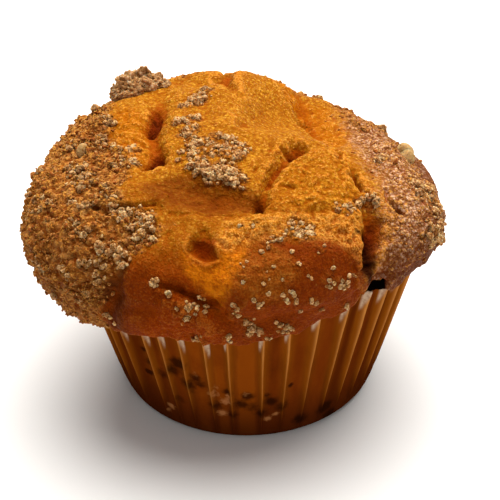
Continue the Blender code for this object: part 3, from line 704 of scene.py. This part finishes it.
def zonesOf(points, azimuth, along):  # what each place is made of
    small = waver(points, 2.2, 21)
    ragged = 2.2 * small + 1.6 * waver(points, 5, 22)
    place = flatPlace(azimuth, along * 100)
    zone = {name: inRegion(place, name, ragged) for name in regions}
    crumble = np.max([zone[name] for name in ("leftFlank", "rightFlank", "backFlank")], axis=0)
    torn = np.max([zone[name] for name in ("soft", "softStrip", "crumbZone")], axis=0)
    seen = np.cos(np.radians(azimuth - 255))  # 1 at the front
    rosy = smooth(np.cos(np.radians(azimuth - 345)), 0.2, 0.8)
    low = smooth(along, 0.40, 0.53) * smooth(seen, 0.2, 0.8)
    # the front-facing lower slope of the dome: plainer relief, and painted shade
    plain = smooth(seen, 0.55, 0.85) * smooth(along, 0.24, 0.32)
    for other in (crumble, torn, zone["threeCorner"], zone["flap"]):
        plain = plain * (1 - other)
    # browner on the lower front, under the lip and low on the flanks: partly toasting, partly painted shade
    toast = np.maximum(zone["frontCrust"], low * 0.95) + 0.6 * smooth(along, 0.60, 0.70) + 0.3 * zone["flap"]
    toast = np.clip(toast, 0, 1) * (1 - 0.55 * crumble)
    toast = np.maximum(toast, (0.55 + 0.45 * rosy) * smooth(along, 0.46, 0.64) * crumble)
    zone.update(small=small, crumble=crumble, torn=torn, rosy=rosy, plain=plain, toast=toast)
    return zone


def stuckPatches(points, bent, zone):  # patches of streusel stuck to the crust
    stuck = np.zeros(len(points))
    for radius, places in heaps:
        for place in places:
            away = np.linalg.norm(bent - spot(*place), axis=1) / (1.4 * radius + 0.3)
            stuck = np.maximum(stuck, np.exp(-(away**2)) * min(1, radius / 0.6))
    scattered = smooth(waver(points, 4.2, 41) + 0.5 * zone["small"], 0.1, 0.6)
    return np.maximum(stuck, 0.7 * zone["crumble"] * (1 - 0.5 * zone["rosy"]) * scattered)


def roughen(points, along, zone, rise, sunk):  # crumbly and granular relief, finer than the solids'
    coarse, medium, grit = lumps(points, 1.9, 31), lumps(points, 1.15, 32), waver(points, 0.8, 33)
    crags = waver(points, 2.6, 34) + 0.6 * waver(points, 1.3, 35)
    crumble, torn, rosy = zone["crumble"], zone["torn"], zone["rosy"]
    pebbles = 0.8 * coarse + medium + 0.8 * zone["small"]
    rise += crumble * (cakeRelief["pebble"] * pebbles * (1 - 0.5 * rosy) - 0.35)
    rise += zone["stuck"] * (0.3 + 0.5 * medium + 0.3 * grit)
    rise += np.maximum(torn, zone["flap"]) * cakeRelief["torn"] * (crags + 0.4 * medium)
    rise += zone["threeCorner"] * cakeRelief["torn"] * (0.5 * crags + 0.4 * medium)
    rise += zone["rubble"] * (0.28 * medium + 0.3 * crags)
    rise += cakeRelief["fine"] * (0.5 * grit + 0.45 * medium) * (1 - 0.6 * zone["plain"])
    rise += 0.3 * crags * smooth(sunk, 0.3, 1.5) + 0.8 * crags * smooth(sunk, 2, 5)
    rise += 0.7 * waver(points, 2.8, 36) * smooth(along, 0.58, 0.66)
    fissures = np.abs(waver(points, 4.5, 37) + 0.35 * waver(points, 1.6, 38))
    cracked = (1 - smooth(fissures, 0.02, 0.09)) * smooth(crumble - torn, 0.6, 1)
    cracked = cracked * smooth(along, 0.38, 0.43) * smooth(waver(points, 9, 39), -0.1, 0.2)
    rise -= (0.5 + 0.5 * rosy) * cracked
    sunk += (0.6 + 0.5 * rosy) * cracked
    return 0.5 * coarse + 0.7 * medium


def keepClear(points, azimuth, along):  # the crown is pushed out where it would touch the paper's rim
    above = np.maximum(0, points[:, 2] - rimHeight(azimuth) - crown["gap"] - crown["clearFrom"])
    least = grooveRadius(points[:, 2]) + crown["clearance"] - 2 * above
    least = np.where(above < crown["clearReach"], least, 0)
    radius = np.hypot(points[:, 0], points[:, 1]) + 1e-6
    stretch = np.where(along < crown["ends"][1], np.maximum(1, least / radius), 1)
    points[:, :2] *= stretch[:, None]


def makeCake():
    directions, faces = ballOfTriangles(crown["frequency"])
    turn = np.arccos(np.clip(directions[:, 2], -1, 1)) / math.pi
    along = np.interp(turn, (0, 0.66, 0.80, 0.87, 0.95, 1), (0, *crown["ends"], 1))
    azimuth = np.degrees(np.arctan2(directions[:, 1], directions[:, 0]))
    azimuth = (azimuth - 20 * np.sin(np.radians(azimuth - 268))) % 360  # finer at the front
    points, out = cakeOutline(azimuth, along)
    exact, bent, rise, sunk = reliefOfSolids(points, faces)
    zone = zonesOf(points, azimuth, along)
    zone["stuck"] = stuckPatches(points, bent, zone)
    core = [formRise(exact if at < 2 else bent, *form) for at, form in enumerate(coreForms)]
    hole = formRise(exact, 6, holeForm)
    _, lipEnd, grooveEnd, _ = crown["ends"]
    away = np.linalg.norm(points - spot(case["nick"][0], 100 * grooveEnd + 0.3), axis=1)
    pocket = np.exp(-((away / crown["pocketReach"]) ** 3)) * (along > grooveEnd - 0.02)
    grit = roughen(points, along, zone, rise, sunk)
    rise -= crown["holeDepth"] * hole
    rise *= np.clip((lipEnd - along) / 0.05, 0, 1)
    rise -= crown["pocketDepth"] * pocket
    points = points + rise[:, None] * out
    edge = smooth(along, 0.60, 0.70) * (1 - smooth(along, lipEnd, lipEnd + 0.03))
    points[:, 2] += edge * (0.8 * waver(points, 3.4, 43) + 0.4 * waver(points, 1.3, 44))
    keepClear(points, azimuth, along)

    shown = ("crumble", "toast", "plain", "rosy", "stuck", "rubble", "flame", "amber", "floor", "scorch")
    layers = {
        **{name: zone[name] for name in shown}, "grit": grit, "core": np.max(core, axis=0),
        "dull": zone["band"], "front": zone["frontCrust"], "grainy": zone["crumbZone"],
        "torn": np.maximum(zone["torn"], zone["threeCorner"] * 0.3), "sunk": smooth(sunk, 0.5, 4.0),
        # painted shade: black in the pocket and the hole
        "burnt": np.maximum(smooth(pocket, 0.3, 0.8), smooth(hole, 0.2, 0.6)),
    }
    cake = meshPiece("crown", points, faces, cakeFinish(), **layers)
    normals = normalsOf(cake)
    hollow = hollowness(points, faces, normals, 3, 0.10) * 0.5 + hollowness(points, faces, normals, 30, 0.5)
    cake.data.attributes.new("hollow", "FLOAT", "POINT").data.foreach_set("value", hollow.astype(np.float32))
    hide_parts("cake")
    return cake, along, layers


# (radius, places): crumbs stuck in lumps, each with loose ones round it
heaps = (
    (0.85, ((135.4, 18.3), (129.4, 18.3), (122, 20.2), (117.2, 20.8), (112.6, 21.5), (108.4, 22.9),
        (121.7, 18.5), (115.7, 19.4))),
    (0.85, ((233.3, 8.3), (231.8, 5.6), (248.3, 5.2), (268.5, 6.1), (276.2, 9.2), (275, 12.4), (268.8, 14),
        (261.6, 12.8), (250.1, 11), (247.1, 12.5), (260.6, 9.3))),
    (0.9, ((252.7, 20.6), (255.4, 18.8), (258.9, 17.4), (265.4, 19.1), (268.9, 20.1), (255.6, 21.5),
        (259.8, 21.2), (264.8, 22.1), (269.3, 23.2), (273.6, 21.8))),
    (0.7, ((163.5, 14.2), (159, 12.9), (148.5, 12.6), (143.1, 11.3))),
    (0.8, ((177.5, 10.9), (194.4, 9.7), (188.7, 11), (173.6, 9.2), (206.3, 10), (222.5, 10.8),
        (226.1, 12.6), (220.9, 9.1), (214.5, 11.5), (228.8, 14.4), (238, 15.6), (238.3, 17.3),
        (244.7, 17.8), (244.4, 19.6), (249.6, 19.7), (237.1, 18.6))),
    (0.4, ((222, 17.3), (215.2, 14.2), (268.2, 16.6), (287.7, 11), (250.8, 22), (274.2, 25.9),
        (197.7, 26.7), (292.8, 49.6))),
    (0.6, ((158.5, 35.5), (159.7, 33.4), (163.4, 31.2), (163.3, 33.1), (171.6, 33.4), (172.9, 32.2),
        (176.3, 33.1), (179.7, 31.3), (183, 28.8), (189.1, 26.9), (190.4, 25), (203, 24.5), (206.4, 24.2),
        (203.9, 25.1), (188.8, 23.7))),
    (0.54, ((199.6, 28.5), (213.2, 35.7), (215.3, 34.5), (219.2, 34.8), (210.5, 33.6), (225, 36.8),
        (227.8, 36.8), (174.2, 41.4), (172.8, 40))),
    (0.72, ((187.6, 39.6), (191.5, 37.5), (191.8, 35.8), (193.6, 39.1), (198.4, 37.1), (198, 35.4),
        (200, 39.1), (203.9, 37.8), (205.1, 35.4), (186, 52.9), (193.7, 49.2), (196.2, 47.1), (201.5, 45.8),
        (199.6, 48.6), (196.7, 51), (180, 49))),
    (0.6, ((207.1, 41.5), (211.7, 40.6), (213.6, 39), (216.7, 46.1), (220.4, 46.1), (220.5, 44.8),
        (213.1, 44.8), (215, 44.8))),
    (0.66, ((221, 37.1), (224.4, 37.3), (227.7, 37.9), (227.1, 39), (229.2, 37.1), (231.8, 36.8),
        (234.8, 37.6), (237, 37.7), (237.1, 39.3), (234, 39.6), (236.3, 41.4), (239, 40.8), (233.2, 41.1),
        (238.5, 42.6), (241.5, 43), (235.8, 43.2))),
    (0.66, ((225.9, 46.8), (227.8, 47.4), (230.2, 48.1), (227.7, 48.8), (230.9, 46.8), (232.7, 46.8),
        (235.1, 48.1), (233.6, 49.1), (235.1, 50.1))),
    (0.55, ((223.5, 52.4), (225.4, 52.4), (227.3, 51.8), (230.5, 51.8), (228.6, 54.5), (230.2, 55.5),
        (218.7, 54.8), (220.9, 55.9), (209, 56), (210.5, 57.9), (223.3, 61.1), (226.1, 58.6), (214, 62.4),
        (231, 64.4), (207, 57))),
    (0.7, ((288.4, 41.1), (290.8, 40.5), (291.4, 42.4), (293.5, 42.9), (292.2, 45.2), (290.5, 43.6),
        (290.3, 45.2), (288, 43.4))),
    (0.5, ((280.7, 44.5), (282.4, 44.2), (296.6, 59.1), (292.4, 55.8), (293.9, 56.6), (295.1, 57.7),
        (293.1, 57.6), (280.9, 56.8), (282.3, 57.8), (283.1, 59.3), (281.2, 58.4), (267.1, 57.6),
        (268.2, 58.7), (267.3, 60.7), (278.9, 66), (280.5, 66.4), (281.9, 68.6), (279.7, 68.5),
        (297.6, 66.8), (245.8, 53.1), (264.6, 66.2), (257.5, 66.3))),
    (0.62, ((269.8, 63.3), (271.2, 65.1), (273, 66.4), (270.7, 66.5), (252.6, 59.3), (253.8, 58.5),
        (255.2, 59.4), (253.4, 60.6), (255.1, 60.8), (254.1, 61.7), (255.8, 69))),
    (0.38, ((272.3, 57.2), (273.1, 58.2), (287.4, 59.5), (288, 60.8), (257.3, 57.8), (259.4, 59.3),
        (249, 55.3), (249.8, 55.6), (246.2, 54), (265.1, 68.2), (275.4, 70.9), (258.6, 58.4))),
    (0.26, ((294.9, 53.7), (270.6, 49.6), (270.4, 52.9), (279.1, 50.5), (276.9, 53.1), (286.4, 48.4),
        (286.8, 51.4), (277.1, 46.4), (287.9, 53.4), (280.9, 53.5), (276.6, 56.1), (271, 39.2), (276, 38.3),
        (299, 57), (284, 62), (290, 64))),
    (0.55, ((307.7, 40.1), (310.3, 40.1), (312.2, 40.1), (315.9, 39.9), (318.5, 39.9), (321.7, 40),
        (320.9, 41.9), (319.9, 42.2), (310.9, 41.5))),
    (0.9, ((342, 46.1), (341.6, 47.8), (343.2, 49.8), (338.8, 50.8), (336.9, 47.8), (334.1, 53.5),
        (333.5, 56.4), (338.5, 54))),
    (0.7, ((328.3, 55), (329.3, 56.6), (333.8, 60.6), (337.7, 64.6), (329.1, 59.7), (327.1, 60.6),
        (325.7, 56.5), (331, 58), (353, 37), (357, 39), (350, 52))),
    (1, ((66, 58), (100, 58), (60, 61), (146, 45), (20, 60), (40, 57), (120, 57), (135, 52), (80, 60),
        (92, 54), (110, 62))),
)
streusel = {
    # (azimuth, percent, radius, height above the crust)
    "mounds": (
        (136.8, 43, 1.8, 0.9), (135, 42.8, 1.9, 1.5), (132, 42.4, 2.1, 1.7), (129, 42.2, 2.1, 2.0),
        (126, 42, 1.8, 2.3), (124.8, 41.8, 1.3, 3.2), (122.5, 41, 1.7, 0.8), (120.5, 39.5, 1.3, 0.3),
        (119.3, 38.2, 0.9, 0.2), (132, 39.8, 1.8, 0.4), (126.5, 39.5, 1.8, 0.5), (137, 39.4, 1.3, 0.3)),
    "smoothLumps": ((12.8, 49.9, 1.9, 0.1), (15.8, 49.5, 1.5, 0.3), (178.5, 37, 1.2, 0.1)),
    "tan": (500, (0.28, 0.52), 0.05), "sand": (3000, (0.14, 0.30), 0.1),  # count, sizes and share raised
    "shownAsLump": 0.52,  # crumbs of a larger radius than this are lumps
    "shadeLimit": 0.5,  # and the ones in more shade than this are the far side's
}


# painted shade: the crumbs on the far sides are made darker and duller
def inShade(centres):  # the far sides, where the crumbs are duller
    return np.maximum(smooth(-centres[:, 0], 21, 28), 0.8 * smooth(centres[:, 1], 10, 20))


def crumbFinish(name, colours, size=0.6, dots=0.6):
    finish = Finish(name, Roughness=0.75, Specular_IOR_Level=0.12, Specular_Tint=(1, 0.8, 0.6),
                    Subsurface_Weight=0.8, Subsurface_Radius=(1.0, 0.75, 0.45), Subsurface_Scale=1.0 * metres)
    colour, rise = finish.meal(size, 4, *colours)
    tone, shaded = finish.layers("tone", "shaded")
    gap = colours[0][1]
    colour = finish.coats(
        colour,
        (finish.step(tone + finish.cloud(4, 2, 5) * 0.8, 1.0, 0.6) * 0.4, gap),
        # painted shade on the far sides and low down
        (shaded * 0.6, gap),
        (finish.step(finish.cloud(0.45, 1, 14), 0.64, 0.69) * dots, cakeLook["tooth"]),
    )
    return finish.show(colour, rise + finish.cloud(0.3, 3, 3), 0.15)


def crumbShapes(kinds, seed, fineness, roughness, bumps):
    ball = bmesh.new()
    bmesh.ops.create_icosphere(ball, subdivisions=fineness, radius=1)
    points = np.array([vertex.co for vertex in ball.verts])
    faces = np.array([[vertex.index for vertex in face.verts] for face in ball.faces])
    ball.free()
    shapes = []
    for kind in range(kinds):
        relief = waver(points, 0.9, seed + kind) + 0.6 * waver(points, 0.4, seed + kind + 40)
        if bumps:
            relief += bumps / roughness * lumps(points, 0.42, seed + kind)
        shapes.append(points * (1 + roughness * relief)[:, None])
    return np.array(shapes), faces


def scatter(name, finish, places, fineness, roughness, seed, bumps=0):
    pick = np.random.default_rng(seed)
    shapes, faces = crumbShapes(24 if fineness < 4 else 12, seed, fineness, roughness, bumps)
    centres, sizes = np.array([place for place, _ in places]), np.array([size for _, size in places])
    count, corners = len(places), shapes.shape[1]
    turns = pick.normal(size=(count, 4))
    turns /= np.linalg.norm(turns, axis=1)[:, None]
    turns = np.array([Quaternion(turn).to_matrix() for turn in turns])
    stretch = pick.uniform(0.8, 1.25, (count, 3)) * sizes[:, None]
    local = shapes[pick.integers(0, len(shapes), count)] * stretch[:, None, :]
    points = np.einsum("nij,nkj->nki", turns, local) + centres[:, None, :]
    numbers = faces[None] + (np.arange(count) * corners)[:, None, None]
    tone = np.repeat(pick.uniform(0, 1, count), corners)
    # painted shade: more on the far sides and towards the bottom
    shade = np.maximum(0.5 * inShade(centres), 0.5 * smooth(-centres[:, 2], -44, -34))
    layers = {"tone": tone, "shaded": np.repeat(shade, corners)}
    piece = meshPiece(name, points.reshape(-1, 3), numbers.reshape(-1, 3), finish, **layers)
    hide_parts("cake")
    print(name, len(piece.data.polygons))
    return piece


def onSurface(points, normals, candidates, centre):
    nearest = candidates[np.argmin(np.linalg.norm(points[candidates] - centre, axis=1))]
    return points[nearest], normals[nearest]


def makeStreusel(cake, along, layers):
    pick = random.Random(7)
    points = np.array([vertex.co for vertex in cake.data.vertices]) / metres
    normals = normalsOf(cake)
    onCrown = np.flatnonzero(along < crown["ends"][1] - 0.03)

    def raised(groups):
        places = []
        for azimuth, percent, size, height in groups:
            point, normal = onSurface(points, normals, onCrown, spot(azimuth, percent))
            places.append((point + normal * height, size))
        return places

    mounds, heaped, crumbs, pale = raised(streusel["mounds"]), [], [], []
    for radius, places in heaps:
        for place in places:
            centre, size = spot(*place), radius * pick.uniform(0.7, 1.05)
            point, normal = onSurface(points, normals, onCrown, centre)
            group = heaped if radius > streusel["shownAsLump"] else crumbs
            group.append((point + normal * (0.05 * size), size))
            for _ in range(round(6 * radius**1.3) + 1):
                offset = np.array([pick.gauss(0, 1) for _ in range(3)]) * radius * 0.8
                point, normal = onSurface(points, normals, onCrown, centre + offset)
                own = pick.uniform(0.2, 0.42)
                pale.append((point + normal * own * 0.3, own))
    for centre, size in mounds + heaped:  # crumbs stuck all over each lump
        for _ in range(int(8 * size * size)):
            away = np.array(Vector([pick.gauss(0, 1) for _ in range(3)]).normalized())
            pale.append((centre + away * size * pick.uniform(0.8, 1.0), pick.uniform(0.15, 0.34)))

    # and the small ones all over the crumbly sides
    chances = np.where(along < crown["ends"][1] - 0.02, layers["crumble"], 0)
    chances = chances * (0.35 + 0.65 * smooth(waver(points, 3.4, 41), -0.2, 0.35))
    chances *= 1 - 0.85 * layers["rosy"]
    chances /= chances.sum()
    drawn = np.random.default_rng(8)
    scattered = [streusel["tan"], streusel["sand"]]
    chosen = [drawn.choice(len(points), count, replace=False, p=chances) for count, _, _ in scattered]
    small = []
    for places, (count, span, share) in zip(chosen, scattered):
        sizes = drawn.uniform(*span, count)
        small.append([(points[at] + normals[at] * size * share, size) for at, size in zip(places, sizes)])
    tan, sand = small
    print("crumbs:", *map(len, (mounds, heaped, crumbs, pale, tan, sand)))
    looks = ("cream", "dullCream", "mound", "stone", "brown")
    cream, dullCream, mound, stone, brown = (cakeLook[key] for key in looks)

    # the far side's crumbs get a duller copy of the colours as painted shade
    def split(places):  # near ones and the far side's
        inFar = [inShade(centre[None])[0] > streusel["shadeLimit"] for centre, _ in places]
        return [[place for place, far in zip(places, inFar) if far == side] for side in (False, True)]

    nearHeaped, farHeaped = split(heaped)
    nearPale, farPale = split(pale)
    smoothed = raised(streusel["smoothLumps"])
    # name, places and the crumbs' shape, then the material's name, colours, grain size and dots
    kinds = (
        ("Mounds", mounds, (5, 0.34, 51, 0.2), "bakedMound", (mound, 0.8, 0.9)),
        ("Heaps", nearHeaped, (4, 0.38, 56, 0.25), "bakedHeap", (cream, 0.7, 0.85)),
        # the far kinds are duller copies of the near ones, as painted shade
        ("FarHeaps", farHeaped, (3, 0.38, 58, 0.25), "shadedHeap", (dullCream, 0.7, 0.9)),
        ("Crumbs", crumbs, (3, 0.45, 57, 0.15), "bakedCrumb", (dullCream, 0.5, 0.1)),
        ("Lumps", smoothed, (4, 0.12, 55), "bakedLump", (stone, 1.5)),
        ("Pale", nearPale, (2, 0.6, 52), "paleStreusel", (cream, 0.6, 0.25)),
        ("FarPale", farPale, (2, 0.6, 59), "shadedStreusel", (dullCream, 0.6, 0.45)),
        ("Tan", tan, (2, 0.6, 53), "tanStreusel", (brown,)),
        ("Sand", sand, (1, 0.32, 54), "sandStreusel", (brown,)),
    )
    return [scatter("streusel" + name, crumbFinish(material, *look), places, *shape)
            for name, places, shape, material, look in kinds]


caseLook = tinted({
    # edge and amber are the folds' light colours, partly paler paper and partly painted highlight
    "dark": (80, 30, 3), "warm": (106, 44, 6), "edge": (204, 136, 66), "glow": (132, 62, 8),
    "amber": (152, 82, 14), "dry": (196, 168, 140), "shade": (66, 26, 6), "smudge": (30, 10, 2),
    "light": (174, 114, 66),
})
paper = {
    # the panels lighten towards their folds as a painted highlight
    "rows": 90, "footRows": 10, "panelSteps": 5, "panelGlow": 0.34,
    "brightPanel": (263.5, 1.2),  # the fold it follows, and its tone
    # one pleat: (place across it, how far it stands out, how light its edge is); the light edge is partly
    # paler paper standing off the cake, partly painted highlight
    "pleat": ((-0.5, 0.0, 0.34), (-0.3, 0.22, 0.46), (-0.14, 0.65, 0.7), (-0.02, 1.0, 1.0),
              (0.06, 1.0, 0.9), (0.16, 0.6, 0.6), (0.34, 0.18, 0.42), (0.5, 0.0, 0.34)),
    # how much the folds differ: their lean, bulge and tone, and how deep the dry paper reaches
    "spans": ((-0.25, 0.25), (-0.25, 0.35), (0, 1), (4.5, 8)),
}


def caseFinish():
    look = caseLook
    finish = Finish("greasedPaper", Roughness=0.45, Specular_IOR_Level=0.0, Specular_Tint=(1, 0.55, 0.2))
    fold, dry, low, smudge, bits, side, tone = finish.layers(
        "fold", "dry", "low", "smudge", "bits", "side", "tone")
    broad, fine = finish.cloud(9, 3, 1), finish.cloud(0.8, 3, 2)
    streaks = finish.cloud(1.8, 3, 6, squash=(1, 1, 0.12))
    # warm tone varies at random and by panel, and is darker towards the case's sides as painted shade
    warmth = broad * 0.5 + streaks * 0.5 + fine * 0.2 + tone * 0.5 - side * 0.4
    colour = finish.coats(
        look["dark"],
        (finish.step(warmth, 0.4, 0.95), look["warm"]),
        (finish.step(warmth, 0.85, 1.2) * 0.8, look["glow"]),
        # a wide soft glow along the folds: partly paler paper, partly painted highlight
        (finish.step(fold, 0.02, 0.5) * (0.3 + streaks * 0.6), look["amber"]),
        (low * (0.45 + broad * 0.5), look["shade"]),
        (finish.step(smudge + finish.cloud(1.0, 3, 3) * 0.6, 0.45, 1.05) * 0.85, look["smudge"]),
        (finish.step(bits + finish.cloud(0.7, 2, 4) * 0.9, 0.7, 1.25) * 0.65, look["light"]),
        # the folds' bright edges: partly paler paper, partly painted highlight
        (finish.step(fold, 0.4, 0.95) * (0.3 + streaks * 0.7), look["edge"]),
        (dry, finish.blend(finish.step(fine, 0.45, 0.65) * 0.35, look["dry"], look["warm"])),
    )
    return finish.show(colour, finish.cloud(0.5, 3, 5) + broad * 2 + streaks, 0.06, 0.5)


def caseFolds():
    shown = case["shownFolds"]
    gap = 360.0 + shown[0] - shown[-1]
    hidden = [shown[-1] + gap * (step + 1) / (case["hiddenFolds"] + 1) for step in range(case["hiddenFolds"])]
    return list(shown) + hidden


def foldColumns(folds):  # for every fold: columns across its pleat, then over the panel to the next one
    pleat, steps = paper["pleat"], paper["panelSteps"]
    inPanel = [step / steps for step in range(1, steps)]
    # painted highlight: each panel lightens towards the folds on both sides
    glow = [paper["panelGlow"] * abs(2 * share - 1) for share in inPanel]
    one = {
        "across": [share for share, _, _ in pleat] + [0.5] * len(inPanel),
        "onwards": [0] * len(pleat) + inPanel,
        "ridge": [high for _, high, _ in pleat] + [0] * len(inPanel),
        "glow": [light for _, _, light in pleat] + glow,
    }
    starts = np.array(folds)
    widths = np.diff(np.concatenate([starts, [starts[0] + 360]]))
    number = np.arange(len(folds)).repeat(len(pleat) + len(inPanel))
    column = {key: np.tile(np.array(values, float), len(folds)) for key, values in one.items()}
    column["panel"] = np.sin(math.pi * column["onwards"])
    pick = np.random.default_rng(3)
    lean, bulge, tone, deep = (pick.uniform(*span, len(folds)) for span in paper["spans"])
    fold, bright = paper["brightPanel"]
    tone[folds.index(fold)] = bright
    return {**column, "base": starts[number], "width": widths[number], "lean": lean[number],
            "bulge": bulge[number], "tone": tone[number] * column["panel"]**0.3, "deep": deep[number]}


def outerPaper(column):
    across, onwards, ridge = column["across"], column["onwards"], column["ridge"]
    panel, base = column["panel"], column["base"]
    facing = np.where((base > 180) & (base < 262), across, -across)  # a pleat's side that shows dry paper
    grid, layers = [], {"fold": [], "dry": [], "low": [], "side": [], "tone": []}
    foot, footRows = 0.06, paper["footRows"]  # closer rows at the foot, where the wall turns up
    climbs = np.linspace(0, foot, footRows, endpoint=False)
    climbs = np.concatenate([climbs, np.linspace(foot, 1, paper["rows"] - footRows)])
    for climb in climbs:
        height = climb * rimHeight(base % 360)
        rounded = np.clip(1 - height / case["corner"], 0, 1)
        radius = caseRadius(height) + 0.45 * case["corner"] * rounded**2
        half = np.degrees((0.35 + 0.65 * climb) * case["foldWidth"] / 2 / radius)
        wobble = [noise.noise(Vector((start * 0.7, climb * 4, 3))) for start in base]
        wobble = 0.3 * np.array(wobble) * climb
        azimuth = base + np.degrees(wobble / radius) + across * 2 * half + column["lean"] * ridge * half
        azimuth = azimuth + onwards * (column["width"] - 2 * half)
        out = radius + ridge * (0.2 + 0.8 * climb) * smooth(climb, 0, 0.14) * case["foldHeight"]
        out = out + panel * column["bulge"] * np.sin(math.pi * climb)
        turn = np.radians(azimuth)
        grid.append(np.stack([out * np.cos(turn), out * np.sin(turn), height], -1))
        lip = roundTheCrown(crown["edge"], azimuth % 360)
        below = np.clip((lip - height) / column["deep"], 0, 1)  # how far under the crown's edge
        dry = smooth(facing - 0.5 * below, -0.2, 0.0) * (ridge > 0.05) * (1 - smooth(below, 0.6, 1.0))
        # the folds' light edges, lighter higher up: partly paler paper, partly painted highlight
        layers["fold"].append(column["glow"] * (0.45 + 0.55 * climb) * smooth(climb, 0.03, 0.3))
        layers["dry"].append(dry * smooth(climb, 0.45, 0.6))
        layers["low"].append(1 - smooth(climb + 0 * base, 0.03, 0.42))
        # painted shade towards the case's sides, away from the front
        layers["side"].append(smooth(np.abs(azimuth - 266), 20, 60))
        layers["tone"].append(column["tone"])
    return np.array(grid), layers


def shownThrough(points):  # crumbs pressed against the paper show through it as dark and light smudges
    smudge, bits = np.zeros(len(points)), np.zeros(len(points))
    for azimuth, height, size, amount in caseSmudges:
        turn, radius = math.radians(azimuth), caseRadius(height)
        place = np.array([radius * math.cos(turn), radius * math.sin(turn), height])
        near = np.exp(-((np.linalg.norm(points - place, axis=1) / size) ** 2))
        if amount > 0:
            bits = np.maximum(bits, near * amount)
        else:
            smudge = np.maximum(smudge, -near * amount)
    return smudge, bits


def makeCase():
    outer, layers = outerPaper(foldColumns(caseFolds()))
    inward = outer.copy()
    radius = np.hypot(outer[..., 0], outer[..., 1])
    inward[..., :2] *= (1 - case["paper"] / radius)[..., None]
    inward[:, :, 2] = np.maximum(inward[:, :, 2], case["paper"])
    total, count = 2 * outer.shape[0], outer.shape[1]
    middles = [[0, 0, 0], [0, 0, case["paper"]]]
    points = np.concatenate([outer.reshape(-1, 3), inward[::-1].reshape(-1, 3), middles])
    row, step = np.meshgrid(np.arange(total - 1), np.arange(count), indexing="ij")
    after = (step + 1) % count
    low, high = row * count, (row + 1) * count
    circle = np.arange(count)
    onwards, inside = np.roll(circle, -1), (total - 1) * count
    faces = np.concatenate([
        np.stack([low + step, low + after, high + after], -1).reshape(-1, 3),
        np.stack([low + step, high + after, high + step], -1).reshape(-1, 3),
        np.stack([onwards, circle, np.full(count, len(points) - 2)], -1),
        np.stack([inside + circle, inside + onwards, np.full(count, len(points) - 1)], -1)])
    values = {}
    for key, value in layers.items():  # the outside, the inside, and the middles of the base
        values[key] = np.concatenate([np.ravel(value), np.ravel(value[::-1]), [value[0][0]] * 2])
    values["smudge"], values["bits"] = shownThrough(points)
    made = meshPiece("pleatedCase", points, faces, caseFinish(), **values)
    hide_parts("paper_case")
    return made


# (azimuth, height, size, amount): light where positive, dark where negative
caseSmudges = (
    (230, 20.2, 1, -0.8), (228.8, 13.8, 0.8, -1.5), (230.8, 17.1, 1.4, -0.6), (244.3, 19.8, 1.9, -0.9),
    (250.5, 16.8, 1.5, -0.8), (252, 15.2, 1.4, -0.7), (248.2, 12.6, 1.4, -0.4), (261.8, 13.8, 1.2, -0.7),
    (269.5, 12.8, 1.4, -0.9), (271.2, 9.5, 1.8, -0.6), (278.5, 10.9, 1.5, -0.9), (277.2, 12.8, 0.9, -0.7),
    (286, 14.5, 0.6, -1.2), (304, 4.7, 2, -0.9), (307.8, 1.6, 1.8, -0.9), (266.8, 10.4, 1.6, -0.8),
    (292, 3.8, 1.8, -0.8), (241.5, 17.6, 2.2, -0.7), (247, 14.6, 2, -0.7), (236, 15, 1.6, -0.6),
    (257, 9.6, 1.8, -0.6), (283, 9, 1.8, -0.6), (274.5, 7.5, 1.6, -0.7), (263.5, 7.2, 1.4, -0.6),
    (241, 9, 1.6, -0.5), (235.8, 5.7, 1, 0.9), (233.8, 4.2, 0.8, 0.7), (259.2, 7.3, 1.1, 0.9),
    (261.2, 10.9, 1.3, 0.8), (262.2, 12.6, 0.9, 0.7), (257.8, 14.9, 1.1, 0.5), (277.5, 5.7, 0.9, 0.9),
    (280.5, 6.9, 0.9, 0.8), (256.2, 13, 1.5, 0.6), (251, 17.8, 1.5, 0.4), (269, 13.5, 1.1, 0.5),
    (20, 12, 2.4, -0.6), (60, 15, 2.2, -0.6), (110, 10, 2.4, -0.6), (150, 14, 2.4, -0.6),
    (190, 10, 2, -0.6), (35, 9, 1.4, 0.7), (95, 12, 1.4, 0.7), (170, 8, 1.4, 0.7),
)


def makeFloor():
    finish = Finish("paleFloor", Roughness=0.9, Specular_IOR_Level=0.1)
    shade = finish.blend(finish.cloud(60, 2, 1) * 0.1, studio["floorColour"], studio["floorShade"])
    reach, drop = studio["floorReach"], studio["floorDrop"]
    corners = ((-reach, -reach), (reach, -reach), (reach, reach), (-reach, reach))
    points = np.array([(*corner, -drop) for corner in corners], float)
    meshPiece("floor", points, np.array([[0, 1, 2, 3]]), finish.show(shade))


placeCamera()
placeLight("overhead")
placeLight("front")
setSky()
makeFloor()
print("stage ready")
cake, along, layers = makeCake()
print("crown ready:", len(cake.data.polygons), "faces")
pieces = [cake, *makeStreusel(cake, along, layers)]
print("streusel ready")
pieces.append(makeCase())
print("case ready:", len(pieces[-1].data.polygons), "faces")
for piece in pieces:
    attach(piece, "root")
bpy.context.view_layer.update()
